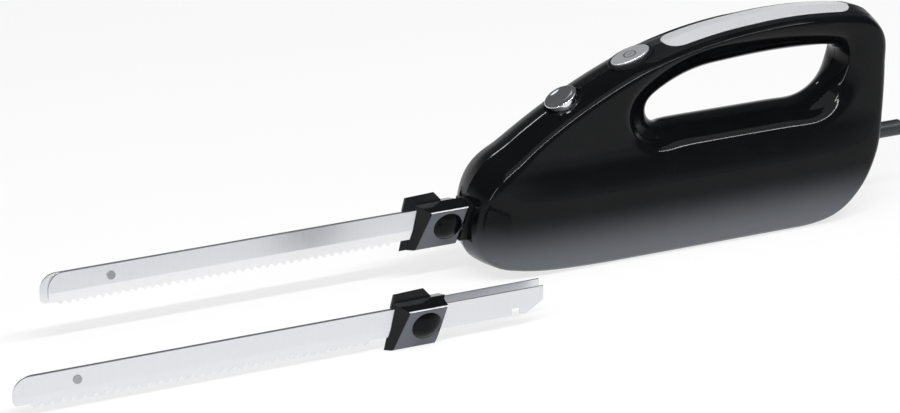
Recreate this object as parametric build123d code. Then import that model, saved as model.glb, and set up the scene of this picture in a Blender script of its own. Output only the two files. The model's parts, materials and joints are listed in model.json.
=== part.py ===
from build123d import *
import os
from math import cos, hypot, pi, radians, sin, tan

os.makedirs("parts", exist_ok=True)

# Electric carving knife: a moulded body with a closed grip, two toothed blades that move against
# each other, and a second set of blades standing beside it.
# Millimetres. +X points to the cord end, the blades reach out along -X, +Z is up.
# The origin is the centre of the flat base, on the surface the knife stands on.
# The near side is -Y. The far side is +Y.

# Body
body_length = 254.0
body_height = 121.6
body_width = 57.0
nose_reach = 143.4
base_length = 110.0
wall = 2.6
seam_gap = 0.16
crown = 3.7
crown_reach = 17.0
crown_step = 9.0
overrun = 6.0
slip = 0.15
seat = 0.05
full_turn = 360.0
search_steps = 40

# The middle outline from the front of the base, round the nose, over the grip and down the back:
# shares of body length and body height, and the share of the crown that each point takes.
outline_shares = [
    (0.290, 0.001, 0.00),
    (0.209, 0.006, 0.05),
    (0.135, 0.015, 0.20),
    (0.075, 0.030, 0.50),
    (0.031, 0.060, 0.80),
    (0.006, 0.125, 1.00),
    (0.000, 0.226, 1.00),
    (0.005, 0.328, 1.00),
    (0.023, 0.430, 1.00),
    (0.096, 0.561, 1.00),
    (0.235, 0.741, 1.00),
    (0.377, 0.878, 1.00),
    (0.521, 0.959, 1.00),
    (0.667, 0.996, 1.00),
    (0.814, 1.000, 1.00),
    (0.918, 0.977, 1.00),
    (0.973, 0.920, 1.00),
    (0.997, 0.740, 1.00),
    (0.997, 0.592, 1.00),
    (0.990, 0.444, 1.00),
    (0.965, 0.250, 0.90),
    (0.906, 0.100, 0.50),
    (0.825, 0.012, 0.05),
]

# Half width of the body by height, and how it draws in towards the nose and round the back, as
# shares of half the body width, by shares of the body height and of the body length.
height_shares = [
    (-0.050, 0.600),
    (0.100, 0.940),
    (0.220, 1.000),
    (0.340, 0.945),
    (0.430, 0.805),
    (0.500, 0.700),
    (0.580, 0.645),
    (0.800, 0.614),
    (1.060, 0.580),
]
plan_shares = [
    (-0.030, 0.460),
    (0.012, 0.560),
    (0.062, 0.790),
    (0.110, 0.920),
    (0.175, 0.990),
    (0.450, 1.020),
    (0.760, 1.010),
    (0.870, 0.955),
    (0.940, 0.850),
    (0.980, 0.660),
    (1.000, 0.380),
]

# Grip opening: its narrowest outline, at the join of the shells, and its lip at lip_reach from
# the join, both in shares of body length and height. Past the lip it spreads as a shallow dish.
lip_reach = 13.0
throat_shares = (-0.25, 0.25, 0.6, 0.82, 1)
dish_reach = 18.0
dish_slope = 1.35
dish_low_share = 0.35
dish_low = 0.50
dish_high = 0.62
opening_shares = [
    (0.480, 0.571, 0.465, 0.497),
    (0.620, 0.570, 0.620, 0.491),
    (0.765, 0.569, 0.775, 0.491),
    (0.843, 0.606, 0.860, 0.545),
    (0.884, 0.710, 0.896, 0.710),
    (0.891, 0.765, 0.900, 0.800),
    (0.872, 0.806, 0.880, 0.862),
    (0.780, 0.817, 0.780, 0.892),
    (0.604, 0.806, 0.602, 0.899),
    (0.520, 0.780, 0.480, 0.850),
    (0.448, 0.712, 0.398, 0.745),
    (0.430, 0.610, 0.382, 0.580),
]

# Trim along the top of the grip and the bright insert in it
trim_half_width = 13.0
trim_depth = 1.5
trim_front_share = 0.3992
trim_back_share = 0.9622
trim_end_radius = 9.0
trim_low_share = 0.7
insert_half_width = 9.6
insert_depth = 0.7
insert_proud = 0.25
insert_front_share = 0.4701
insert_back_share = 0.9169

# Release button on the nose and power button in front of the grip
release_place = -84.0
release_radius = 9.3
release_proud = 2.8
release_dish_radius = 17.0
release_dish_depth = 1.6
rim_radius = 0.6
release_depth = 5.0
bezel_band = 1.3
bezel_depth = 5.5
bezel_sunk = 1.6
power_share = 0.39449
power_half_length = 11.3
power_half_width = 7.5
power_proud = 1.9
power_travel = 2.0
power_depth = 4.0
power_band = 1.9
power_bezel_proud = 0.9
mark_radius = 3.6
mark_line = 0.7
mark_height = 0.3
shelf_depth = 15.0
shelf_thickness = 2.0
shelf_half_length = 9.0
beam_half_length = 4.0
beam_depth = 5.5
switch_half_length = 7.0
switch_half_width = 5.0
switch_height = 6.0
actuator_radius = 1.6
actuator_rise = 2.5
stem_radius = 2.4
coil_radius = 4.2
coil_wall = 0.8

# Blades
blade_top = 41.4
blade_depth = 17.9
blade_thickness = 1.0
blade_gap = 0.2
blade_tip_radius = 9.0
blade_heel_radius = 3.0
bevel_height = 7.2
edge_thickness = 0.3
tip_place = -377.1
stroke = 4.4
shank_offset = 4.6
shank_height = 13.6
shank_end = -87.0
shank_chamfer = 6.0
shank_chamfer_run = 9.6
joggle_front = -162.0
joggle_back = -150.0
notch_front = -105.0
notch_width = 4.5
notch_depth = 3.6
rivet_place = -342.9
rivet_height = 35.3
rivet_shank_radius = 1.4
rivet_head_radius = 2.3
rivet_head = 0.5

# Teeth: where they start behind the tip, how many there are, and their shape
fine_pitch = 4.6
fine_depth = 1.9
fine_count = 40
coarse_pitch = 5.75
coarse_depth = 2.9
coarse_count = 32
teeth_start = 9.0
tooth_flat_share = 0.20
fine_tip_share = 0.62
coarse_tip_share = 0.50

# Blade guards: a wedge each side, the far one with a thumb wing along its top
guard_bottom = 19.4
guard_inner_top = 44.2
guard_outer_top = 41.6
guard_top_half_width = 8.85
guard_bottom_half_width = 3.0
guard_inner_front_top = -170.2
guard_inner_front_bottom = -175.8
guard_outer_front_top = -164.6
guard_outer_front_bottom = -172.2
guard_back_top = -142.9
guard_back_bottom = -148.0
guard_join_gap = 0.15
wing_top = 48.6
wing_front = -173.4
wing_back = -151.0
wing_corner = 3.6
wing_lean = 1.8
wing_rise = 0.6
wing_thickness = 2.4
cap_place = -154.2
cap_height = 31.6
cap_radius = 8.2
cap_rise = 3.4
cap_sunk = 0.4

# Spare set: how far it stands from the knife's own set, and how far its blades have slid
spare_ahead = 46.6
spare_aside = 74.5
spare_slid = 1.9

# Motor and worm, on one line along X
motor_height = 23.0
shaft_radius = 2.0
shaft_front = -80.5
shaft_back = 38.5
worm_front = -69.0
worm_back = -47.5
worm_radius = 4.0
worm_addendum = 0.85
worm_dedendum = 1.15
worm_thread_share = 0.29
worm_flank = 20.0
bearing_radius = 5.0
bearing_length = 4.5
front_bearing_place = -80.0
middle_bearing_place = -45.5
back_bearing_place = 31.5
fan_place = -37.5
fan_length = 9.0
fan_radius = 17.0
fan_hub_radius = 5.0
fan_disc = 1.2
fan_blade = 1.2
fan_blades = 12
stator_front = -22.0
stator_length = 26.0
stator_radius = 19.0
stator_ring = 3.4
pole_half_width = 7.0
air_gap = 0.7
coil_build = 2.6
coil_low = 9.3
coil_overhang = 5.0
armature_radius = 10.5
armature_slots = 12
slot_width = 1.7
slot_depth = 5.0
winding_length = 5.5
winding_radius = 8.6
commutator_front = 13.0
commutator_length = 12.0
commutator_radius = 6.5
commutator_bars = 12
bar_gap = 0.4
bar_gap_depth = 1.0
brush_width = 5.0
brush_height = 4.0
brush_length = 8.5
brush_gap = 0.1
holder_wall = 0.8
bracket_place = 31.5
bracket_thickness = 4.5
bracket_half_width = 18.0
bracket_half_height = 17.5
motor_screw_offset = 12.2
motor_screw_end = -8.0
holder_start = 9.0
holder_strip = 2.4

# Drive: a gear on a cross axle, an eccentric on each side of it, and a carrier for each blade
gear_place = -58.0
gear_module = 1.0
gear_teeth = 30
gear_width = 4.0
gear_addendum = 0.85
gear_dedendum = 1.2
gear_root_share = 0.32
gear_tip_share = 0.20
axle_radius = 2.5
axle_gap = 0.06
eccentric_radius = 7.0
eccentric_start = 2.3
eccentric_end = 6.6
yoke_slack = 0.6
yoke_lift_slack = 0.3
yoke_wall = 3.0
carrier_plate = 2.4
carrier_front = -120.0
carrier_back = -84.0
carrier_inner = 2.6
carrier_outer = 8.0
carrier_floor = 24.6
carrier_roof = 43.8
carrier_bar_floor = 31.0
socket_gap = 0.2
latch_thickness = 0.6
latch_width = 2.4
latch_front = -119.0
latch_back = -87.5
latch_rivet_place = -116.5
latch_rivet_radius = 0.9
latch_rivet_height = 2.0
hook_rise = 1.5
hook_gap = 0.45
tab_front = -94.5
tab_reach = 10.8
leg_inner = 9.3
leg_thickness = 3.0
leg_front = -97.0
leg_back = -88.5
leg_gap = 0.4
eccentric_hub = 3.6
arm_depth = 4.8
frame_front = -81.5
frame_back = -40.5
frame_inner = 9.0
frame_plate = 2.5
frame_floor = 7.5
frame_floor_thickness = 2.5
frame_top = 50.0
frame_wall_top = 28.6

# Blade guide in the nose
guide_front = -135.0
guide_back = -100.0
guide_half_width = 11.8
guide_bottom = 17.5
guide_top = 47.0
guide_gap = 0.2
pocket_floor = 21.9
snout_half_width = 9.3
snout_bottom = 21.5
snout_top = 46.0
snout_front = -139.2
lip_gap = 0.6
lip_top_half_width = 9.0
lip_bottom_half_width = 4.9

# Cord guard and clamp
cord_height_share = 0.33553
cord_guard_radius = 4.5
cord_bore = 3.3
cord_guard_length = 30.5
cord_flange_radius = 7.0
cord_flange = 2.5
cord_flange_share = 0.94173
clamp_gap = 0.8
clamp_length = 8.0
clamp_half_width = 9.0
clamp_thickness = 2.4

# Bosses and screws that hold the shells together, as shares of body length and height
boss_radius = 4.8
screw_radius = 1.5
screw_head_radius = 2.9
screw_head = 2.0
screw_length = 16.0
boss_shares = [
    (0.075, 0.085),
    (0.130, 0.480),
    (0.600, 0.915),
    (0.930, 0.880),
    (0.925, 0.190),
    (0.335, 0.700),
]

# Ribs inside the shells
rib = 1.8
rib_gap = 0.1
frame_rib_places = (-78.0, -62.0, -46.0)
stator_rib_places = (-16.0, 2.0)
guide_rib_places = (-131.0, -105.0)
guide_rib_rise = 3.6
bracket_rib_reach = 15.6
nose_gap = 0.3

# Air slots in the base
vent_width = 2.4
vent_half_length = 9.0
vent_pitch = 5.0
vent_count = 5
vent_start = -40.0

# Worked out from the sizes above
power_place = power_share * body_length - nose_reach
trim_front = trim_front_share * body_length - nose_reach
trim_back = trim_back_share * body_length - nose_reach
insert_front = insert_front_share * body_length - nose_reach
insert_back = insert_back_share * body_length - nose_reach
cord_height = cord_height_share * body_height
cord_flange_place = cord_flange_share * body_length - nose_reach
cord_guard_out = cord_flange_place + cord_guard_length
clamp_place = cord_flange_place - clamp_gap - clamp_length
half_join = seam_gap / 2
half_body = body_width / 2
crown_span = half_body + overrun
gear_radius = gear_module * gear_teeth / 2
gear_height = motor_height + worm_radius + gear_radius
worm_lead = pi * gear_module
throw = stroke / 2
blade_offset = (blade_thickness + blade_gap) / 2
shank_bottom = blade_top - shank_height
blade_bottom = blade_top - blade_depth
shelf_under = shelf_depth + shelf_thickness
deep = -body_width
release_bezel_radius = release_radius + slip + bezel_band
frame_outer = frame_inner + frame_plate
brush_place = commutator_front + commutator_length / 2
holder_end = commutator_radius + brush_gap + brush_length
shank_low = shank_bottom - guide_gap
shank_high = blade_top + guide_gap
pocket_front = carrier_front - stroke - guide_gap - wall
guard_back_lean = (guard_back_top - guard_back_bottom) / (guard_inner_top - guard_bottom)
lip_top_front = guard_back_top + lip_gap
lip_bottom_front = guard_back_bottom + lip_gap + guard_back_lean * (snout_bottom - guard_bottom)
screw_seat = screw_length / 2 + half_join


def block(x_range, y_range, z_range):
    # a box between two places along each axis
    low = Vector(x_range[0], y_range[0], z_range[0])
    size = Vector(x_range[1], y_range[1], z_range[1]) - low
    return Pos(low) * Box(*size, align=(Align.MIN, Align.MIN, Align.MIN))


def rod(radius, start, end):
    # a cylinder from one point to another
    start, end = Vector(*start), Vector(*end)
    plane = Plane(origin=start, z_dir=end - start)
    seat_align = (Align.CENTER, Align.CENTER, Align.MIN)
    return plane * Cylinder(radius, (end - start).length, align=seat_align)


def tube(outer, inner, start, end):
    return rod(outer, start, end) - rod(inner, start, end)


def side_plate(points, y_range):
    # an outline in X and Z, drawn across from one Y to another
    outline = Wire.make_polygon([(x, y_range[0], z) for x, z in points], close=True)
    return Solid.extrude(Face(outline), Vector(0, y_range[1] - y_range[0], 0))


def along(share):
    return share * body_length - nose_reach


def up(share):
    return share * body_height


def far_side(shape):
    return mirror(shape, about=Plane.XZ)


def save(shape, name):
    solids = shape.solids() if hasattr(shape, "solids") else shape
    out = solids[0] if len(solids) == 1 else Compound(children=list(solids))
    export_step(out, f"parts/{name}.step")
    print(name, len(solids), round(sum(s.volume for s in solids)))


def shifted(points, amounts, closed=False):
    # moves each point of an outline to its right-hand side, square to its neighbours' line
    moved = []
    count = len(points)
    for i, (a, b) in enumerate(points):
        before = points[(i - 1) % count] if closed or i > 0 else points[i]
        after = points[(i + 1) % count] if closed or i < count - 1 else points[i]
        run, rise = after[0] - before[0], after[1] - before[1]
        size = hypot(run, rise)
        moved.append((a + amounts[i] * rise / size, b - amounts[i] * run / size))
    return moved


def arcs(points):
    # a chain of arcs through an odd number of points, each arc through three of them
    chain = []
    for i in range(0, len(points) - 2, 2):
        chain.append(Edge.make_three_point_arc(*points[i : i + 3]))
    return chain


def closed_by(chain, corners):
    # a wire from a chain of edges, closed by straight lines through the corners
    stops = [chain[-1] @ 1, *corners, chain[0] @ 0]
    lines = [Edge.make_line(p, q) for p, q in zip(stops, stops[1:])]
    return Wire(chain + lines)


def profile_points(inset, drop):
    # the side profile, pulled in by the inset and, where it is crowned, by the crown's drop
    front, back = (-base_length / 2, 0), (base_length / 2, 0)
    points = [front] + [(along(x), up(z)) for x, z, _ in outline_shares] + [back]
    shares = [0] + [share for _, _, share in outline_shares] + [0]
    moved = shifted(points, [inset + drop * share for share in shares])
    moved[0] = (front[0], inset)
    moved[-1] = (back[0], inset)
    return moved


def crown_drop(reach):
    # how far the profile is pulled in at a distance from the middle: half as steep up to crown_step
    slope = crown / (crown_reach - crown_step / 2)
    return slope * (max(0, reach) / 2 + max(0, reach - crown_step) / 2)


def crown_loft(inset, join):
    # the near half of the body as seen from the side, lower towards the edge of its top
    sections = []
    for y in (join, -crown_step, -crown_span):
        points = [(x, y, z) for x, z in profile_points(inset, crown_drop(-y))]
        sections.append(closed_by(arcs(points), []))
    return Solid.make_loft(sections, True)


def plan_prism(inset):
    # the near half of the body's outline seen from above, drawn up over its full height
    points = [(along(x), -half_body * share) for x, share in plan_shares]
    points = shifted(points, [-inset] * len(points))
    chain = arcs([(x, y, -overrun) for x, y in points])
    outline = closed_by(chain, [(points[-1][0], overrun, -overrun), (points[0][0], overrun, -overrun)])
    return Solid.extrude(Face(outline), Vector(0, 0, body_height + 2 * overrun))


def section_prism(inset, join):
    # the near half of the body's outline seen from the front, drawn along its full length
    front = -nose_reach - overrun
    chain = arcs([(front, inset - half_body * share, up(z)) for z, share in height_shares])
    low, high = (front, join, (chain[0] @ 0).Z), (front, join, (chain[-1] @ 1).Z)
    return Solid.extrude(Face(closed_by(chain, [high, low])), Vector(body_length + 2 * overrun, 0, 0))


def opening_ring(share, grow, out):
    # one outline of the grip opening: between throat and lip, then out along the dish
    points, amounts = [], []
    for throat_x, throat_z, lip_x, lip_z in opening_shares:
        x = throat_x + share**2 * (lip_x - throat_x)
        z = throat_z + share**2 * (lip_z - throat_z)
        rise = min(1, max(0, (z - dish_low) / (dish_high - dish_low)))
        points.append((along(x), up(z)))
        amounts.append(grow + out * dish_slope * (dish_low_share + (1 - dish_low_share) * rise))
    return shifted(points, amounts, closed=True)


def opening_tool(grow):
    # the open space of the grip, from just past the join out through the near side
    lip = lip_reach - grow
    stations = [(share, 0) for share in throat_shares] + [(1, dish_reach)]
    sections = []
    for share, out in stations:
        ring = [(x, -lip * share - out, z) for x, z in opening_ring(share, grow, out)]
        sections.append(Wire(arcs(ring + ring[:1])))
    return Solid.make_loft(sections, True)


def near_form(inset, join):
    # the near half of the body as one closed form, its surfaces pulled in by the inset
    sides = section_prism(inset, join) & plan_prism(inset)
    return (crown_loft(inset, join) - opening_tool(inset)) & sides


def crest_plane(x):
    # the middle of the top surface at a place along X: z_dir square to it, x_dir rising rearward
    chain = arcs([(a, 0, b) for a, b in profile_points(0, 0)])
    edge = [e for e in chain if (e @ 0).X <= x < (e @ 1).X and (e @ 1).Z > up(trim_low_share) - overrun][0]
    low, high = 0.0, 1.0
    for _ in range(search_steps):
        middle = (low + high) / 2
        if edge.position_at(middle).X < x:
            low = middle
        else:
            high = middle
    run = edge.tangent_at(low)
    return Plane(origin=edge.position_at(low), x_dir=run, z_dir=Vector(-run.Z, 0, run.X))


def oval(plane, half_length, half_width, low, high):
    # an oval post on a plane, between two heights along its normal
    face = Plane(plane.location * Pos(0, 0, low)) * Ellipse(half_length, half_width)
    return extrude(face, high - low)


def post(plane, radius, low, high):
    return oval(plane, radius, radius, low, high)


def near_blade(pitch, depth, count, tip_share):
    # the near blade with its joggled shank, toothed edge down
    front, back = tip_place, joggle_front
    y_range = (-blade_offset - blade_thickness / 2, -blade_offset + blade_thickness / 2)
    teeth = []
    start = front + teeth_start
    for i in range(count):
        x = start + i * pitch
        tip = x + tip_share * pitch * (1 - tooth_flat_share)
        end = x + pitch * (1 - tooth_flat_share)
        teeth += [(x, blade_bottom + depth), (tip, blade_bottom), (end, blade_bottom + depth)]
    outline = [(front, blade_top), (front, blade_bottom + depth)] + teeth
    outline += [(back, blade_bottom + depth), (back, blade_top)]
    blade = side_plate(outline, y_range)
    corners = blade.edges().filter_by(Axis.Y).sort_by(Axis.X)[:2].sort_by(Axis.Z)
    blade = blade.fillet(blade_heel_radius, corners[:1])
    corners = blade.edges().filter_by(Axis.Y).sort_by(Axis.X)
    corner = [e for e in corners if e.center().Z > blade_top - seat][:1]
    blade = blade.fillet(blade_tip_radius, corner)
    # the ground face thins the outer side towards the teeth
    bevel_top = blade_bottom + bevel_height
    outer, inner = y_range[0], y_range[1] - edge_thickness
    wedge = Wire.make_polygon(
        [
            (front - overrun, outer, bevel_top),
            (front - overrun, inner, blade_bottom),
            (front - overrun, inner, blade_bottom - overrun),
            (front - overrun, outer - overrun, blade_bottom - overrun),
            (front - overrun, outer - overrun, bevel_top),
        ],
        close=True,
    )
    blade = blade - Solid.extrude(Face(wedge), Vector(back - front + 2 * overrun, 0, 0))
    shank_y = (-shank_offset - blade_thickness / 2, -shank_offset + blade_thickness / 2)
    joggle = Wire.make_polygon(
        [
            (back - seat, y_range[0], shank_bottom),
            (joggle_back, shank_y[0], shank_bottom),
            (joggle_back, shank_y[1], shank_bottom),
            (back - seat, y_range[1], shank_bottom),
        ],
        close=True,
    )
    bend = Solid.extrude(Face(joggle), Vector(0, 0, shank_height))
    notch_back = notch_front + notch_width
    shank = side_plate(
        [
            (joggle_back - seat, blade_top),
            (shank_end, blade_top),
            (shank_end, shank_bottom + shank_chamfer),
            (shank_end - shank_chamfer_run, shank_bottom),
            (notch_back, shank_bottom),
            (notch_back, shank_bottom + notch_depth),
            (notch_front, shank_bottom + notch_depth),
            (notch_front, shank_bottom),
            (joggle_back - seat, shank_bottom),
        ],
        shank_y,
    )
    return blade + bend + shank


def crest_block(plane, half_length, half_width, low, high):
    # a block on a crest plane, between two heights along its normal
    return plane * block((-half_length, half_length), (-half_width, half_width), (low, high))


def power_room(plane):
    # the oval hole that takes the power button's bezel
    grown = power_band + slip + seat
    return oval(plane, power_half_length + grown, power_half_width + grown, -bezel_depth - seat, overrun)


def plan_rounded(front, back, half_width, radius, grow):
    # a tall post with a rounded oblong outline, seen from above
    outline = RectangleRounded(back - front + 2 * grow, 2 * (half_width + grow), radius + grow)
    low = up(trim_low_share)
    return Pos((front + back) / 2, 0, low) * extrude(outline, body_height + overrun - low)


def crest_skin(post_shape, top, floor):
    # the part of a post that lies between two depths under the crowned top
    near = (post_shape & crown_loft(top, 0)) - crown_loft(floor, 0)
    return near + far_side(near)


def blade_rivet():
    # a pin fixed in the near blade, with a head on each outer face of the pair
    near, far = -blade_gap / 2 - blade_thickness, blade_gap / 2 + blade_thickness + seat
    rivet = rod(rivet_shank_radius, (rivet_place, near, rivet_height), (rivet_place, far, rivet_height))
    for start, end in ((near - rivet_head, near), (far, far + rivet_head)):
        rivet = rivet + rod(
            rivet_head_radius, (rivet_place, start, rivet_height), (rivet_place, end, rivet_height)
        )
    return rivet


def slotted(blade):
    # the far blade, drawn on the near side, with the slot that lets it run past the rivet
    width = rivet_shank_radius + slip
    x_range = (rivet_place - stroke, rivet_place + stroke)
    for x in x_range:
        blade = blade - rod(width, (x, -shank_offset, rivet_height), (x, 0, rivet_height))
    z_range = (rivet_height - width, rivet_height + width)
    return blade - block(x_range, (-shank_offset, 0), z_range)


def pinned(blade):
    # the near blade with the hole that holds the rivet
    return blade - rod(
        rivet_shank_radius, (rivet_place, -shank_offset, rivet_height), (rivet_place, 0, rivet_height)
    )


def cap_plane():
    # the middle of the round plug, on the sloping outer face of the near guard
    rise = guard_outer_top - guard_bottom
    run = guard_top_half_width - guard_bottom_half_width
    y = -guard_bottom_half_width - run * (cap_height - guard_bottom) / rise
    return Plane(origin=(cap_place, y, cap_height), x_dir=(1, 0, 0), z_dir=(0, -rise, -run))


def cap_post():
    # the round space the plug fills, from its seat in the guard to its highest point
    return post(cap_plane(), cap_radius, -cap_sunk, cap_rise)


def guard_cap():
    sphere_radius = (cap_radius**2 + cap_rise**2) / (2 * cap_rise)
    dome = Pos(0, 0, cap_rise - sphere_radius) * Sphere(sphere_radius)
    return cap_post() & (cap_plane() * dome)


def near_guard(blade):
    # the wedge-shaped guard moulded on the near blade
    inner_y, inner_top = -guard_join_gap / 2, guard_inner_top
    inner = [
        (guard_inner_front_top, inner_y, inner_top),
        (guard_inner_front_bottom, inner_y, guard_bottom),
        (guard_back_bottom, inner_y, guard_bottom),
        (guard_back_top, inner_y, inner_top),
    ]
    outer = [
        (guard_outer_front_top, -guard_top_half_width, guard_outer_top),
        (guard_outer_front_bottom, -guard_bottom_half_width, guard_bottom),
        (guard_back_bottom, -guard_bottom_half_width, guard_bottom),
        (guard_back_top, -guard_top_half_width, guard_outer_top),
    ]
    sections = [Wire.make_polygon(points, close=True) for points in (inner, outer)]
    return Solid.make_loft(sections, True) - blade - cap_post()


def thumb_wing():
    # the wing along the top of a far guard, drawn on the near side
    foot = guard_outer_top - seat
    points = [
        (wing_front, foot),
        (wing_front + wing_lean, wing_top),
        (wing_back - wing_corner, wing_top + wing_rise),
        (wing_back, wing_top - wing_corner),
        (wing_back, foot),
    ]
    return side_plate(points, (-guard_join_gap / 2 - wing_thickness, -guard_join_gap / 2))


def blade_set(pitch, depth, count, tip_share):
    # one pair of blades with rivet, guards and plugs, the far one still in line with the near one
    near = near_blade(pitch, depth, count, tip_share)
    cap = guard_cap() - near
    far_guard = near_guard(near) + (thumb_wing() - near)
    return {
        "near_blade": pinned(near),
        "near_guard": near_guard(near),
        "near_guard_cap": cap,
        "far_blade": far_side(slotted(near)),
        "far_guard": far_side(far_guard),
        "far_guard_cap": far_side(cap),
        "blade_rivet": blade_rivet(),
    }


def near_features():
    # all that stands inside the near half: bosses, ribs, shelves under the buttons, cord saddle
    shapes = []
    for x, z in boss_shares:
        shapes.append(rod(boss_radius, (along(x), overrun, up(z)), (along(x), deep, up(z))))
    for x in frame_rib_places:
        x_range = (x - rib / 2, x + rib / 2)
        shapes.append(block(x_range, (deep, -frame_outer - rib_gap), (0, frame_top)))
        shapes.append(block(x_range, (deep, overrun), (0, frame_floor - rib_gap)))
    line = (-body_length, 0, motor_height), (body_length, 0, motor_height)
    for x in stator_rib_places:
        z_range = (0, motor_height + stator_radius + rib)
        plate = block((x - rib / 2, x + rib / 2), (deep, overrun), z_range)
        shapes.append(plate - rod(stator_radius + seat, *line))
    for x in (bracket_place - rib_gap - rib, bracket_place + bracket_thickness + rib_gap):
        z_range = (0, motor_height + bracket_half_height)
        shapes.append(block((x, x + rib), (deep, -bracket_rib_reach), z_range))
    room = guide_half_width + rib_gap
    for x in guide_rib_places:
        plate = block((x - rib / 2, x + rib / 2), (deep, overrun), (0, guide_top + guide_rib_rise))
        z_range = (guide_bottom - rib_gap, guide_top + rib_gap)
        shapes.append(plate - block((x - rib, x + rib), (-room, room), z_range))
    for plane, hole in ((crest_plane(release_place), stem_radius + slip), (crest_plane(power_place), 0)):
        shelf = crest_block(plane, shelf_half_length, body_width, -shelf_under, -shelf_depth)
        shapes.append(shelf - post(plane, hole, -body_height, 0) if hole else shelf)
    x_range = (clamp_place, clamp_place + clamp_length)
    saddle = block(x_range, (-clamp_half_width, overrun), (0, cord_height - cord_bore))
    shapes.append(saddle)
    return shapes[0].fuse(*shapes[1:]) - clamp_holes()


def clamp_screw_place():
    return clamp_place + clamp_length / 2, clamp_half_width - screw_head_radius


def clamp_holes():
    x, y = clamp_screw_place()
    low = cord_height - cord_bore - screw_length / 2
    return rod(screw_radius, (x, -y, low), (x, -y, cord_height + overrun))


def near_shell():
    # the near half of the body: skin, features, and every hole through it but those for screws
    shell = near_form(0, -half_join) - (near_form(wall, overrun) - near_features())
    release, power = crest_plane(release_place), crest_plane(power_place)
    shell = shell - post(release, release_bezel_radius + seat, -bezel_depth - seat, overrun)
    shell = shell - power_room(power)
    room = plan_rounded(trim_front, trim_back, trim_half_width, trim_end_radius, seat)
    shell = shell - crest_skin(room, -overrun, trim_depth)
    half_room, low, high = snout_half_width + nose_gap, snout_bottom - nose_gap, snout_top + nose_gap
    shell = shell - block((-body_length, guide_front + rib), (-half_room, 0), (low, high))
    start, end = (cord_flange_place + cord_flange, 0, cord_height), (body_length, 0, cord_height)
    shell = shell - rod(cord_guard_radius, start, end)
    vent_depth = (-overrun, motor_height - fan_radius)
    for i in range(vent_count):
        x = vent_start + i * vent_pitch
        shell = shell - block((x, x + vent_width), (-vent_half_length, 0), vent_depth)
    return shell


def drilled(shell, screw_cut):
    for x, z in boss_shares:
        shell = shell - screw_cut(along(x), up(z))
    return shell


def pilot_cut(x, z):
    return rod(screw_radius, (x, -screw_seat, z), (x, 0, z))


def through_cut(x, z):
    # clearance for a screw and the recess for its head, drawn on the near side
    hole = rod(screw_radius + slip, (x, -screw_seat, z), (x, 0, z))
    return hole + rod(screw_head_radius + slip, (x, deep, z), (x, -screw_seat, z))


def housing_screws():
    solids = []
    for x_share, z_share in boss_shares:
        x, z = along(x_share), up(z_share)
        shank = rod(screw_radius, (x, screw_seat - screw_length, z), (x, screw_seat, z))
        head = rod(screw_head_radius, (x, screw_seat, z), (x, screw_seat + screw_head, z))
        solids.append((shank + head).solid())
    return solids


def snout_lip():
    # the near half of the wedge in front of the snout, which fills the space behind the guards
    back = snout_front + seat
    inner = [
        (lip_top_front, seat, guard_inner_top),
        (lip_bottom_front, seat, snout_bottom),
        (back, seat, snout_bottom),
        (back, seat, guard_inner_top),
    ]
    outer = [
        (lip_top_front, -lip_top_half_width, guard_outer_top),
        (lip_bottom_front, -lip_bottom_half_width, snout_bottom),
        (back, -lip_bottom_half_width, snout_bottom),
        (back, -lip_top_half_width, guard_outer_top),
    ]
    sections = [Wire.make_polygon(points, close=True) for points in (inner, outer)]
    return Solid.make_loft(sections, True)


def blade_guide():
    y_range, x_range = (-guide_half_width, guide_half_width), (guide_front, guide_back)
    guide = block(x_range, y_range, (guide_bottom, guide_top))
    snout = (-snout_half_width, snout_half_width)
    guide = guide + block((snout_front, guide_front + seat), snout, (snout_bottom, snout_top))
    guide = guide + snout_lip() + far_side(snout_lip())
    outer, inner = carrier_outer + guide_gap, carrier_inner - guide_gap
    half_slot = blade_thickness / 2 + guide_gap
    for side in (-1, 1):
        pocket = (-outer, -inner) if side < 0 else (inner, outer)
        middle = side * shank_offset
        slot = (middle - half_slot, middle + half_slot)
        guide = guide - block((pocket_front, 0), pocket, (pocket_floor, carrier_roof + guide_gap))
        guide = guide - block((-body_length, 0), slot, (shank_low, shank_high))
    return guide


def cord_guard():
    start, end = (cord_flange_place, 0, cord_height), (cord_guard_out, 0, cord_height)
    neck = rod(cord_guard_radius, start, end)
    neck = neck.fillet(rim_radius, neck.edges().sort_by(Axis.X)[-1:])
    flange_end = (cord_flange_place + cord_flange, 0, cord_height)
    return neck + rod(cord_flange_radius, start, flange_end) - rod(cord_bore, start, end)


def cord_clamp():
    low, high = cord_height - cord_bore, cord_height + cord_bore
    x_range = (clamp_place, clamp_place + clamp_length)
    arch = block(x_range, (-clamp_half_width, clamp_half_width), (low, high + clamp_thickness))
    arch = arch - block(x_range, (-cord_bore - slip, cord_bore + slip), (low, high))
    x, y = clamp_screw_place()
    for side in (-1, 1):
        arch = arch - rod(screw_radius, (x, side * y, low), (x, side * y, high + clamp_thickness))
    return arch


def clamp_screws():
    x, y = clamp_screw_place()
    top = cord_height + cord_bore + clamp_thickness
    low = cord_height - cord_bore - screw_length / 2
    solids = []
    for side in (-1, 1):
        shank = rod(screw_radius, (x, side * y, low), (x, side * y, top))
        head = rod(screw_head_radius, (x, side * y, top), (x, side * y, top + screw_head))
        solids.append((shank + head).solid())
    return solids


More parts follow.
